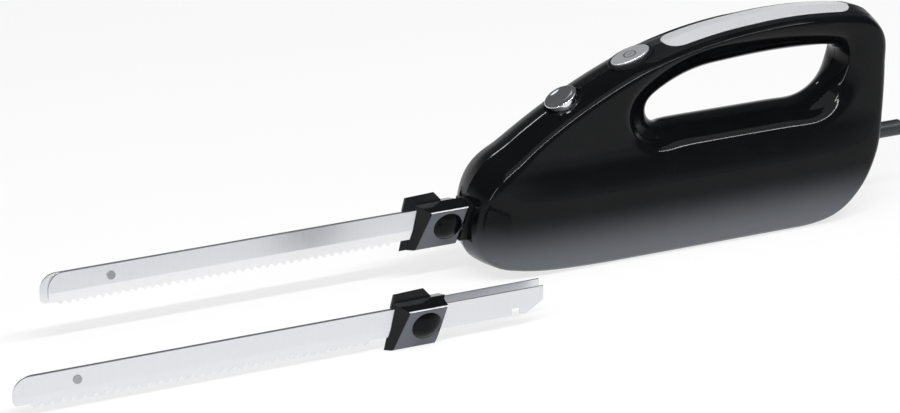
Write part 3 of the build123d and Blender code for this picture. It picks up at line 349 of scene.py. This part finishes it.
def evenly(ring, count):
    # the same number of even steps round any ring of points
    stops = ring + ring[:1]
    far = [0.0]
    for p, q in zip(stops, stops[1:]):
        far.append(far[-1] + math.dist(p, q))
    out, k = [], 0
    for i in range(count):
        goal = far[-1] * i / count
        while k < len(stops) - 2 and far[k + 1] < goal:
            k += 1
        share = (goal - far[k]) / max(far[k + 1] - far[k], 1e-9)
        out.append(between(stops[k], stops[k + 1], share))
    return out


def softened(ring, passes):
    # relaxes a closed ring so that its arcs run into each other
    for _ in range(passes):
        after = ring[1:] + ring[:1]
        before = ring[-1:] + ring[:-1]
        ring = [
            tuple((p + 2 * q + r) / 4 for p, q, r in zip(*trio))
            for trio in zip(before, ring, after)
        ]
    return ring


def smoothTable(rows, place):
    # a smooth curve through rows of (place, value)
    i = 0
    while i < len(rows) - 2 and rows[i + 1][0] < place:
        i += 1
    (x0, y0), (x1, y1) = rows[i], rows[i + 1]
    before, after = rows[max(i - 1, 0)], rows[min(i + 2, len(rows) - 1)]
    m0 = (y1 - before[1]) / (x1 - before[0])
    m1 = (after[1] - y0) / (after[0] - x0)
    w, t = x1 - x0, (place - x0) / (x1 - x0)
    return (
        (2 * t**3 - 3 * t**2 + 1) * y0 + (t**3 - 2 * t**2 + t) * w * m0
        + (3 * t**2 - 2 * t**3) * y1 + (t**3 - t**2) * w * m1
    )


def lesser(a, b, soft):
    # the smaller of two, with a rounded change-over
    gap = max(0.0, 1 - abs(a - b) / soft)
    return min(a, b) - gap * gap * soft / 4


def crownDrop(reach):
    # how far the profile is pulled in at a distance from the seam
    half = bodyShape["crownSlope"] / 2
    top, knee = bodyShape["crownRound"]
    past = reach - bodyShape["crownStep"]
    rounded = math.sqrt(reach * reach + top * top) - top
    return half * rounded + half * (past + math.sqrt(past * past + knee * knee)) / 2


def sideReach(x, z):
    # half width of the body at a place on its side
    b = bodyShape
    across = b["halfWidth"] * smoothTable(b["section"], z / b["height"])
    along = b["halfWidth"] * smoothTable(b["plan"], (x + b["nose"]) / b["length"])
    return lesser(across, along, b["planBlend"])


def outlineRing():
    # the middle outline with its crown shares, as one even ring that ends along the base
    b = bodyShape
    steps, foot = b["arcSteps"], b["baseSteps"]
    rows = [(-b["baseHalf"], 0.0, 0.0)]
    rows += [(x * b["length"] - b["nose"], z * b["height"], share) for x, z, share in b["outline"]]
    rows += [(b["baseHalf"], 0.0, 0.0)]
    dense = []
    for i in range(0, len(rows) - 2, 2):
        trio = rows[i:i + 3]
        shares = [share for _, _, share in trio]
        spots = arcPoints(*[(x, z) for x, z, _ in trio], steps)
        dense += [(x, z, overTrio(*shares, 2 * k / steps)) for k, (x, z) in enumerate(spots)]
    dense.append(rows[-1])
    dense += [(b["baseHalf"] * (1 - k / foot), 0.0, 0.0) for k in range(1, 2 * foot)]
    return softened(evenly(dense, b["samples"]), b["outlineSoft"])


def sidewaysOf(ring):
    # at each place on a ring, the way off it: inward for the outline, outward for the opening
    out = []
    for p, q in zip(ring[-1:] + ring[:-1], ring[1:] + ring[:1]):
        run, rise = q[0] - p[0], q[1] - p[1]
        size = math.hypot(run, rise)
        out.append((rise / size, -run / size))
    return out


def openingRing(share):
    # one dense outline of the opening, at a share of the way from throat to lip
    b = bodyShape
    points = []
    for throatX, throatZ, lipX, lipZ in b["opening"]:
        x = throatX + share**2 * (lipX - throatX)
        z = throatZ + share**2 * (lipZ - throatZ)
        points.append((x * b["length"] - b["nose"], z * b["height"]))
    points.append(points[0])
    dense = []
    for i in range(0, len(points) - 2, 2):
        dense += arcPoints(*points[i:i + 3], b["arcSteps"])
    return dense


def dishRises():
    # how steep the dish is at each dense point of the lip
    b = bodyShape
    heights = [row[3] for row in b["opening"]]
    heights.append(heights[0])
    slopes = []
    for i in range(0, len(heights) - 2, 2):
        for k in range(b["arcSteps"]):
            z = overTrio(*heights[i:i + 3], 2 * k / b["arcSteps"])
            rise = min(1, max(0, (z - b["dishLow"]) / (b["dishHigh"] - b["dishLow"])))
            slopes.append(b["dishSlope"] * (b["dishLowShare"] + (1 - b["dishLowShare"]) * rise))
    return slopes


def dishRing(lip):
    # where the dish runs out on the side, with one place for each place on the lip
    b = bodyShape
    rises = softened([(slope,) for slope in dishRises()], b["dishSoft"])
    dish = []
    for (x, z), (nx, nz), (slope,) in zip(lip, sidewaysOf(lip), rises):
        out = b["dishStart"]
        for _ in range(b["dishTries"]):
            reach = sideReach(x + nx * out * slope, z + nz * out * slope)
            out = (out + max(b["dishLeast"], reach - b["lipReach"])) / 2
        dish.append((x + nx * out * slope, z + nz * out * slope))
    return softened(dish, b["dishSoft"])


def atShare(ring, t):
    # a place on a dense closed ring, by its fractional index
    k = int(t) % len(ring)
    return between(ring[k], ring[(k + 1) % len(ring)], t - int(t))


def stepBack(p, q, reach):
    # a point on the line from p to q, less than half of the way
    far = max(math.dist(p, q), 1e-6)
    return between(p, q, min(bodyShape["lipShare"], reach / far))


def bend(start, corner, end, steps):
    # a rounded corner between two points
    out = []
    for i in range(steps + 1):
        t = i / steps
        trios = zip(start, corner, end)
        out.append(tuple((1 - t) ** 2 * a + 2 * t * (1 - t) * b + t * t * c for a, b, c in trios))
    return out


def gripMiddle(x, z):
    # the closest point of the grip's middle line, from which the side is divided up
    (ax, az), (bx, bz) = bodyShape["gripLine"]
    run, rise = bx - ax, bz - az
    t = ((x - ax) * run + (z - az) * rise) / (run * run + rise * rise)
    t = min(1, max(0, t))
    return ax + run * t, az + rise * t


def crossingOf(ring, middle, aim):
    # where the ray from the middle towards the aim crosses a ring
    dx, dz = aim[0] - middle[0], aim[1] - middle[1]
    for k in range(len(ring)):
        p, q = ring[k], ring[(k + 1) % len(ring)]
        a = (p[0] - middle[0]) * dz - (p[1] - middle[1]) * dx
        b = (q[0] - middle[0]) * dz - (q[1] - middle[1]) * dx
        ahead = (p[0] - middle[0]) * dx + (p[1] - middle[1]) * dz
        if a * b <= 0 and a != b and ahead > 0:
            return k + a / (a - b)
    return 0.0


def sectionLine(spot, inward, lip, dish, tunnel):
    # one line of the near half, from the outer seam over the side and into the grip
    b = bodyShape
    (x, z, share), (nx, nz) = spot, inward
    reach = sideReach(x, z)
    for _ in range(b["creaseTries"]):
        drop = share * crownDrop(reach)
        reach = sideReach(x + nx * drop, z + nz * drop)
    crease = (x + nx * drop, z + nz * drop)
    middle = gripMiddle(*crease)
    t = crossingOf(dish, middle, crease)
    hollow = atShare(dish, t)
    room = math.dist(middle, crease) - b["dishMargin"]
    if math.dist(middle, hollow) > room:
        hollow = between(middle, hollow, room / math.dist(middle, hollow))
    edge = min(b["edgeRound"], b["edgeShare"] * math.dist(crease, hollow))
    lipPlace = atShare(lip, t)
    above = max(sideReach(*hollow) - b["lipReach"], b["dishDepth"])
    steep = above / math.dist(hollow, lipPlace)
    soft = min(b["dishRound"], above)

    def onCrown(depth, y):
        return (x + nx * depth, -y, z + nz * depth)

    def dished(place):
        slope = b["lipReach"] + steep * math.dist(place, lipPlace)
        return (place[0], -lesser(sideReach(*place), slope, soft), place[1])

    # crown
    first, last = b["seam"] + b["seamBreak"], reach - edge
    line = [onCrown(b["seamBreak"], b["seam"]), onCrown(0.0, first)]
    for k in range(1, b["crownRows"] + 1):
        y = first + (last - first) * k / b["crownRows"]
        line.append(onCrown(share * crownDrop(y), y))
    # crease, rounded
    start = (crease[0] + nx * edge, crease[1] + nz * edge)
    foot = (start[0], -sideReach(*start), start[1])
    line += bend(line[-1], (crease[0], -reach, crease[1]), foot, b["edgeRows"])[1:]
    # side and dish
    for k in range(1, b["sideRows"] + 1):
        w = 1 - (1 - k / b["sideRows"]) ** b["sideCrowd"]
        line.append(dished(between(start, hollow, w)))
    lipPoint = (lipPlace[0], -b["lipReach"], lipPlace[1])
    brink = (hollow[0], -b["lipReach"] - above, hollow[1])
    near = stepBack(lipPoint, brink, b["lipRound"])
    for k in range(1, b["dishRows"]):
        line.append(dished(between(hollow, (near[0], near[2]), k / b["dishRows"])))
    # lip and tunnel
    firstX, firstZ = atShare(tunnel[0], t)
    inner = (firstX, -b["lipReach"] * b["tunnelSteps"][0], firstZ)
    line += bend(near, lipPoint, stepBack(lipPoint, inner, b["lipRound"]), b["lipRows"])
    for ring, step in zip(tunnel, b["tunnelSteps"]):
        px, pz = atShare(ring, t)
        line.append((px, -b["lipReach"] * step, pz))
    throat = atShare(tunnel[-1], t)
    line.append((throat[0], -b["seam"] - b["seamBreak"], throat[1]))
    away = math.dist(middle, throat)
    inmost = between(middle, throat, (away + b["seamBreak"]) / away)
    line.append((inmost[0], -b["seam"], inmost[1]))
    return line


def bodyRows():
    # every row of the near half, each a ring round the grip
    b = bodyShape
    outline = outlineRing()
    inward = sidewaysOf([(x, z) for x, z, _ in outline])
    lip = softened(openingRing(1.0), b["lipSoft"])
    dish = dishRing(lip)
    least, more = b["tunnelSoft"]
    tunnel = [
        softened(openingRing(share), round(least + more * share))
        for share in (*b["tunnelSteps"], 0.0)
    ]
    lines = [sectionLine(spot, way, lip, dish, tunnel) for spot, way in zip(outline, inward)]
    return list(zip(*lines))


shading = {"body": 32, "guard": 6, "ring": 40, "plug": 40}  # degrees from which an edge is sharp


def spotKey(place):
    # a place to a tenth of a micrometre
    return tuple(round(c, 7) for c in place)


def loftRows(rows):
    # extrudes a ring from row to row
    made = bmesh.new()
    bmesh.ops.create_circle(made, cap_ends=False, segments=len(rows[0]), radius=1)
    made.verts.ensure_lookup_table()
    ring = list(made.verts)
    edges = list(made.edges)
    for vert, place in zip(ring, rows[0]):
        vert.co = Vector(place) * mm
    for row in rows[1:]:
        got = bmesh.ops.extrude_edge_only(made, edges=edges)["geom"]
        fresh = {spotKey(v.co): v for v in got if isinstance(v, bmesh.types.BMVert)}
        ring = [fresh[spotKey(v.co)] for v in ring]
        edges = [e for e in got if isinstance(e, bmesh.types.BMEdge)]
        for vert, place in zip(ring, row):
            vert.co = Vector(place) * mm
    return made


def newPiece(made, name):
    mesh = bpy.data.meshes.new(name)
    made.to_mesh(mesh)
    made.free()
    piece = bpy.data.objects.new(name, mesh)
    bpy.context.collection.objects.link(piece)
    return piece


def shade(piece, sharp):
    # smooth, but for the edges from an angle on
    for face in piece.data.polygons:
        face.use_smooth = True
    piece.data.set_sharp_from_angle(angle=math.radians(sharp))


def finishMesh(made, name, sharp=shading["body"]):
    bmesh.ops.recalc_face_normals(made, faces=made.faces)
    piece = newPiece(made, name)
    shade(piece, sharp)
    return piece


def bakeModifiers(piece):
    # takes the result of the piece's modifiers as its own mesh
    graph = bpy.context.evaluated_depsgraph_get()
    mesh = bpy.data.meshes.new_from_object(piece.evaluated_get(graph))
    piece.modifiers.clear()
    piece.data = mesh
    shade(piece, shading["body"])


def combine(piece, tools, operation):
    # cuts tools out of a piece, or joins them to it
    for tool in tools:
        change = piece.modifiers.new(tool.name, "BOOLEAN")
        change.object = tool
        change.operation = operation
        change.solver = "MANIFOLD"
    bakeModifiers(piece)
    for tool in tools:
        bpy.data.objects.remove(tool)


def turnedTo(ahead, up):
    # the turn that takes X to ahead and Z to up
    return Matrix((ahead, up.cross(ahead), up)).transposed().to_4x4()


def toMetres(made):
    bmesh.ops.scale(made, verts=made.verts, vec=(mm, mm, mm))


def postTool(name, place, normal, radiusX, radiusY, low, high):
    # an oval post along a normal, between two heights from its place, in millimetres
    made = bmesh.new()
    bmesh.ops.create_cone(
        made, cap_ends=True, segments=bodyCuts["postSegments"], radius1=1, radius2=1, depth=1)
    bmesh.ops.scale(made, verts=made.verts, vec=(radiusX, radiusY, high - low))
    bmesh.ops.translate(made, verts=made.verts, vec=(0, 0, (high + low) / 2))
    up = Vector(normal).normalized()
    across = Vector((0, 1, 0)) if abs(up.y) < 0.9 else Vector((0, 0, 1))
    ahead = across.cross(up).normalized()
    bmesh.ops.transform(made, verts=made.verts, matrix=turnedTo(ahead, up))
    bmesh.ops.translate(made, verts=made.verts, vec=place)
    toMetres(made)
    return finishMesh(made, name)


def boxTool(name, low, high):
    made = bmesh.new()
    bmesh.ops.create_cube(made, size=1)
    bmesh.ops.scale(made, verts=made.verts, vec=[h - l for l, h in zip(low, high)])
    bmesh.ops.translate(made, verts=made.verts, vec=[(h + l) / 2 for l, h in zip(low, high)])
    toMetres(made)
    return finishMesh(made, name)


def crestHeight(ring, x):
    # height of the middle of the top at a place along X
    best = 0
    for p, q in zip(ring, ring[1:]):
        if p[0] <= x < q[0]:
            best = max(best, p[1] + (q[1] - p[1]) * (x - p[0]) / (q[0] - p[0]))
    return best


bodyCuts = {
    # place, normal and the two radii of the rooms under the buttons, and their two depths
    "release": ((-84.0, 0, 89.95), (-0.4737, 0, 0.8807), 10.8, 10.8),
    "power": ((-43.2, 0, 108.27), (-0.3117, 0, 0.9502), 13.4, 9.6),
    "buttonDepths": (-9, 7), "postSegments": 96,
    # ends, half width, corner radius, depth under the crest and reach over it
    "trim": {
        "front": -42.05, "back": 101.05, "half": 13.05, "corner": 9.05, "deep": 5.6, "over": 6,
        "rows": 70, "leastSquare": 0.01,
    },
    # two corners of the hole in the nose
    "snout": ((-150, -9.6, 21.2), (-133.2, 9.6, 46.3)),
    # place, normal, radii, start and end of the cord's hole
    "cord": ((98.3, 0, 40.8), (1, 0, 0), 4.53, 4.53, 0, 30),
    "vents": {
        "start": -40.0, "pitch": 5.0, "width": 2.4, "half": 9.0, "low": -5, "high": 6, "count": 5,
    },
    # each housing screw's boss in the far half, with a well for its head and a hole
    "bosses": [
        (-124.35, 10.3), (-110.4, 58.4), (9.0, 111.3), (92.8, 107.0), (91.6, 23.1), (-58.3, 85.1),
    ],
    "boss": {"radius": 4.8, "start": 0.4, "intoWall": 1.2},
    "well": (3.05, 3.05, 8.08, 40), "hole": (1.65, 1.65, -1, 9),  # radii, start and end
}


def trimTool():
    # the rounded oblong hole for the trim, which follows the line of the top
    c = bodyCuts["trim"]
    crest = [(p, q) for p, q, _ in outlineRing()]
    rows = []
    for k in range(c["rows"] + 1):
        share = (1 - math.cos(math.pi * k / c["rows"])) / 2
        x = c["front"] + (c["back"] - c["front"]) * share
        inside = min(x - c["front"], c["back"] - x, c["corner"])
        square = max(c["corner"] ** 2 - (c["corner"] - inside) ** 2, c["leastSquare"])
        width = c["half"] - c["corner"] + math.sqrt(square)
        top = crestHeight(crest, x)
        low, high = top - c["deep"], top + c["over"]
        rows.append([(x, -width, low), (x, width, low), (x, width, high), (x, -width, high)])
    made = loftRows(rows)
    bmesh.ops.holes_fill(made, edges=made.edges, sides=4)
    return finishMesh(made, "trimRoom")


def bodyTools():
    c, v = bodyCuts, bodyCuts["vents"]
    tools = [
        postTool("releaseRoom", *c["release"], *c["buttonDepths"]),
        postTool("powerRoom", *c["power"], *c["buttonDepths"]),
        trimTool(),
        boxTool("snoutRoom", *c["snout"]),
        postTool("cordRoom", *c["cord"]),
    ]
    for i in range(v["count"]):
        x = v["start"] + i * v["pitch"]
        low, high = (x, -v["half"], v["low"]), (x + v["width"], v["half"], v["high"])
        tools.append(boxTool(f"vent{i}", low, high))
    return tools


def addBosses(piece):
    c, boss = bodyCuts, bodyCuts["boss"]
    bosses, wells = [], []
    for i, (x, z) in enumerate(c["bosses"]):
        place, outward = (x, 0, z), (0, 1, 0)
        size = (boss["radius"], boss["radius"], boss["start"], sideReach(x, z) - boss["intoWall"])
        bosses.append(postTool(f"boss{i}", place, outward, *size))
        wells.append(postTool(f"well{i}", place, outward, *c["well"]))
        wells.append(postTool(f"hole{i}", place, outward, *c["hole"]))
    combine(piece, bosses, "UNION")
    combine(piece, wells, "DIFFERENCE")


probeHeight = 0.03  # in metres, low on the side above the origin


def fromProbe(face):
    # how far a face is from the place by which the skin is turned outwards
    middle = face.calc_center_median()
    return abs(middle.x) + abs(middle.z - probeHeight)


def makeBodyHalf(name, node, far):
    made = loftRows(bodyRows())
    if far:
        bmesh.ops.scale(made, verts=made.verts, vec=(1, -1, 1))
    bmesh.ops.recalc_face_normals(made, faces=made.faces)
    if min(made.faces, key=fromProbe).normal.y * (1 if far else -1) < 0:
        bmesh.ops.reverse_faces(made, faces=made.faces)
    piece = newPiece(made, name)
    wall = piece.modifiers.new("wall", "SOLIDIFY")
    wall.thickness = bodyShape["wall"] * mm
    wall.offset = -1
    wall.use_even_offset = False
    bakeModifiers(piece)
    if far:
        addBosses(piece)
    combine(piece, bodyTools(), "DIFFERENCE")
    dress(piece, "gloss_black")
    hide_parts(node)
    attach(piece, "housing")


makeBodyHalf("bodyNear", "left_shell", False)
makeBodyHalf("bodyFar", "right_shell", True)
print("body")


# moulded and pressed pieces with the broken edges that catch the light

edgeBreaks = {
    "guards": ("near_guard", "far_guard", "spare_near_guard", "spare_far_guard"),
    "guardWidth": 0.7, "guardShortest": 3.0, "guardSkin": 1.0,  # long edges off the blade side only
    "bezels": ("release_bezel", "power_bezel"), "bezelWidth": 0.35,
    "segments": 3, "sharpAngle": 25, "flatAngle": 0.6, "weld": 0.004,
}


def outerEdge(edge, inner):
    # a long edge that lies away from the guard's inner face
    e = edgeBreaks
    return edge.calc_length() > e["guardShortest"] * mm and all(
        abs(vert.co.y - inner) > e["guardSkin"] * mm for vert in edge.verts
    )


def brokenEdges(node):
    # the node's own form with its sharp edges rounded
    e = edgeBreaks
    guard = node in e["guards"]
    made = bmesh.new()
    made.from_mesh(frame["nodes"][node].data)
    bmesh.ops.remove_doubles(made, verts=made.verts, dist=e["weld"] * mm)
    flat = math.radians(e["flatAngle"])
    bmesh.ops.dissolve_limit(made, angle_limit=flat, verts=made.verts, edges=made.edges)
    low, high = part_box(node)
    inner = low[1] if "far" in node else high[1]
    sharp = [
        edge for edge in made.edges
        if len(edge.link_faces) == 2 and edge.calc_face_angle(0) > math.radians(e["sharpAngle"])
        and (not guard or outerEdge(edge, inner))
    ]
    bmesh.ops.bevel(
        made, geom=sharp, offset=(e["guardWidth"] if guard else e["bezelWidth"]) * mm,
        offset_type="OFFSET", affect="EDGES", segments=e["segments"], profile=0.5, material=-1,
        clamp_overlap=not guard,
    )
    first, *words = node.split("_")
    name = first + "".join(word.capitalize() for word in words)
    piece = finishMesh(made, name, shading["guard" if guard else "ring"])
    row = [r for r in frame["record"]["subparts"] if r["node"] == node][0]
    bodies = frame["record"]["behaviour"]["bodies"]
    body = [owner for owner, nodes in bodies.items() if node in nodes][0]
    dress(piece, row["material_slot"])
    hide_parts(node)
    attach(piece, body)


for node in edgeBreaks["guards"] + edgeBreaks["bezels"]:
    brokenEdges(node)
print("guards and bezels")


# guard plugs: a turned dome each, in its round seat

capShape = {
    "place": (-154.2, 31.6), "radius": 8.15, "rise": 3.4, "sunk": 0.35, "rim": 0.15,
    "outerTop": (41.6, 8.85), "outerFoot": (19.4, 3.0),  # height and reach of the guard's side
    "domeSteps": 14, "turnSteps": 72, "weld": 0.0005,
    # how far the far plug stands ahead, and where the spare set lies from the fitted one
    "ahead": 4.4, "spareShift": (-46.6, -74.5, -19.4), "spareSlid": 1.9,
}


def capProfile():
    # half the outline of a plug, from its sunk middle over the rim to the top of its dome
    c = capShape
    sphere = (c["radius"] ** 2 + c["rise"] ** 2) / (2 * c["rise"])
    lift = c["rise"] - sphere
    profile = [(0.0, -c["sunk"]), (c["radius"], -c["sunk"]), (c["radius"], 0.0)]
    for k in range(1, c["domeSteps"] + 1):
        reach = (c["radius"] - c["rim"]) * (1 - k / c["domeSteps"])
        profile.append((reach, lift + math.sqrt(sphere**2 - reach**2)))
    return profile


def makeCap(name, node, body, far, shift):
    c = capShape
    (topZ, topY), (footZ, footY) = c["outerTop"], c["outerFoot"]
    x, z = c["place"]
    y = -footY - (topY - footY) * (z - footZ) / (topZ - footZ)
    out = Vector((0, -(topZ - footZ), -(topY - footY))).normalized()
    made = bmesh.new()
    verts = [made.verts.new((reach, 0, height)) for reach, height in capProfile()]
    edges = [made.edges.new(pair) for pair in zip(verts, verts[1:])]
    bmesh.ops.spin(
        made, geom=verts + edges, cent=(0, 0, 0), axis=(0, 0, 1), angle=2 * math.pi,
        steps=c["turnSteps"], use_merge=True, use_duplicate=False,
    )
    bmesh.ops.remove_doubles(made, verts=made.verts, dist=c["weld"])
    bmesh.ops.transform(made, verts=made.verts, matrix=turnedTo(Vector((1, 0, 0)), out))
    bmesh.ops.translate(made, verts=made.verts, vec=(x, y, z))
    if far:
        bmesh.ops.scale(made, verts=made.verts, vec=(1, -1, 1))
    bmesh.ops.translate(made, verts=made.verts, vec=shift)
    toMetres(made)
    piece = finishMesh(made, name, shading["plug"])
    dress(piece, "plug_black")
    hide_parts(node)
    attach(piece, body)


sx, sy, sz = capShape["spareShift"]
makeCap("nearGuardCap", "near_guard_cap", "near_set", False, (0, 0, 0))
makeCap("farGuardCap", "far_guard_cap", "far_set", True, (-capShape["ahead"], 0, 0))
makeCap("spareNearGuardCap", "spare_near_guard_cap", "spare_near", False, (sx, sy, sz))
makeCap(
    "spareFarGuardCap", "spare_far_guard_cap", "spare_far", True,
    (sx + capShape["spareSlid"], sy, sz),
)
print("guard plugs")

for node, finish in {
    "near_blade": "edge_steel", "far_blade": "edge_steel", "blade_rivet": "rivet_steel",
    "spare_blade_rivet": "rivet_steel", "power_button": "silver_cap",
}.items():
    dress(frame["nodes"][node], finish)


# stage: pale floor, soft light, camera at the photograph's angle

stage = {
    # in metres, watts and degrees
    "floorSize": 9.0, "floorDrop": 0.0002, "paper": 0.86, "paperTones": (0.855, 0.865),
    "paperScale": 3, "paperRoughness": 0.7, "paperSpecular": 0.1, "paperShare": 0.75,
    "skyColor": (0.97, 0.98, 1.0, 1), "skyRise": (0.02, 0.30), "lowSky": 0.75, "highSky": 0.12,
    # each lamp's place, aim, size and power
    "topBox": ((-0.1, -0.2, 2.0), (-0.1, 0, 0), (2.6, 1.6), 14),
    "stripBox": ((-0.1, -0.95, 1.55), (-0.1, 0, 0.06), (2.4, 0.09), 36),
    "leftBox": ((-1.9, -0.6, 0.7), (-0.1, 0, 0.05), (0.12, 1.0), 6),
    # the camera's film width and lens in millimetres, its aim, its angles and how far off it stands
    "sensor": 36, "lens": 168.3, "aim": (-0.150, 0, 0.040), "turn": -25, "rise": 22, "reach": 2.24,
}


def anyRay(tree):
    # 1 for what the camera sees, mirrored or through something too
    rays = tree.nodes.new("ShaderNodeLightPath").outputs
    seen = rays["Is Camera Ray"]
    for kind in ("Is Glossy Ray", "Is Transmission Ray"):
        most = tree.nodes.new("ShaderNodeMath")
        most.operation = "MAXIMUM"
        tree.links.new(seen, most.inputs[0])
        tree.links.new(rays[kind], most.inputs[1])
        seen = most.outputs[0]
    return seen


def makeFloor():
    s = stage
    made = bmesh.new()
    bmesh.ops.create_grid(made, x_segments=1, y_segments=1, size=s["floorSize"] / 2)
    bmesh.ops.translate(made, verts=made.verts, vec=(0, 0, -s["floorDrop"]))
    floor = newPiece(made, "floor")
    material, tree, shader = newMaterial("paleFloor", (s["paper"],) * 3, s["paperRoughness"])
    cloud = objectNoise(tree, even, s["paperScale"])
    mixedColor(tree, shader, cloud, *((tone,) * 3 for tone in s["paperTones"]))
    shader.inputs["Specular IOR Level"].default_value = s["paperSpecular"]
    # reads as white paper, and keeps the shadow
    share = tree.nodes.new("ShaderNodeMath")
    share.operation = "MULTIPLY"
    share.inputs[1].default_value = s["paperShare"]
    paper = tree.nodes.new("ShaderNodeEmission")
    mix = tree.nodes.new("ShaderNodeMixShader")
    tree.links.new(anyRay(tree), share.inputs[0])
    tree.links.new(share.outputs[0], mix.inputs["Fac"])
    tree.links.new(shader.outputs["BSDF"], mix.inputs[1])
    tree.links.new(paper.outputs["Emission"], mix.inputs[2])
    tree.links.new(mix.outputs["Shader"], tree.nodes["Material Output"].inputs["Surface"])
    floor.data.materials.append(material)


def softBox(name):
    place, aim, size, power = stage[name]
    lamp = bpy.data.lights.new(name, "AREA")
    lamp.shape = "RECTANGLE"
    lamp.size, lamp.size_y = size
    lamp.energy = power
    holder = bpy.data.objects.new(name, lamp)
    holder.location = place
    holder.rotation_euler = (Vector(aim) - Vector(place)).to_track_quat("-Z", "Y").to_euler()
    bpy.context.collection.objects.link(holder)


def makeWorld():
    world = bpy.data.worlds.new("studio")
    bpy.context.scene.world = world
    world.use_nodes = True
    tree = world.node_tree
    background = tree.nodes["Background"]
    up = partsOf(tree, "Generated")["Z"]  # pale at the horizon, dim overhead
    sky = mapped(tree, up, *stage["skyRise"], stage["lowSky"], stage["highSky"], "SMOOTHSTEP")
    tree.links.new(sky, background.inputs["Strength"])
    background.inputs["Color"].default_value = stage["skyColor"]


def makeCamera():
    lens = bpy.data.cameras.new("camera")
    lens.sensor_width = stage["sensor"]
    lens.lens = stage["lens"]
    holder = bpy.data.objects.new("camera", lens)
    aim = Vector(stage["aim"])
    turn, rise = math.radians(stage["turn"]), math.radians(stage["rise"])
    away = Vector((
        math.sin(turn) * math.cos(rise), -math.cos(turn) * math.cos(rise), math.sin(rise)
    ))
    holder.location = aim + stage["reach"] * away
    holder.rotation_euler = (aim - holder.location).to_track_quat("-Z", "Y").to_euler()
    bpy.context.collection.objects.link(holder)
    bpy.context.scene.camera = holder


makeFloor()
softBox("topBox")
softBox("stripBox")
softBox("leftBox")
makeWorld()
makeCamera()
bpy.context.scene.view_settings.view_transform = "Standard"
print("stage")
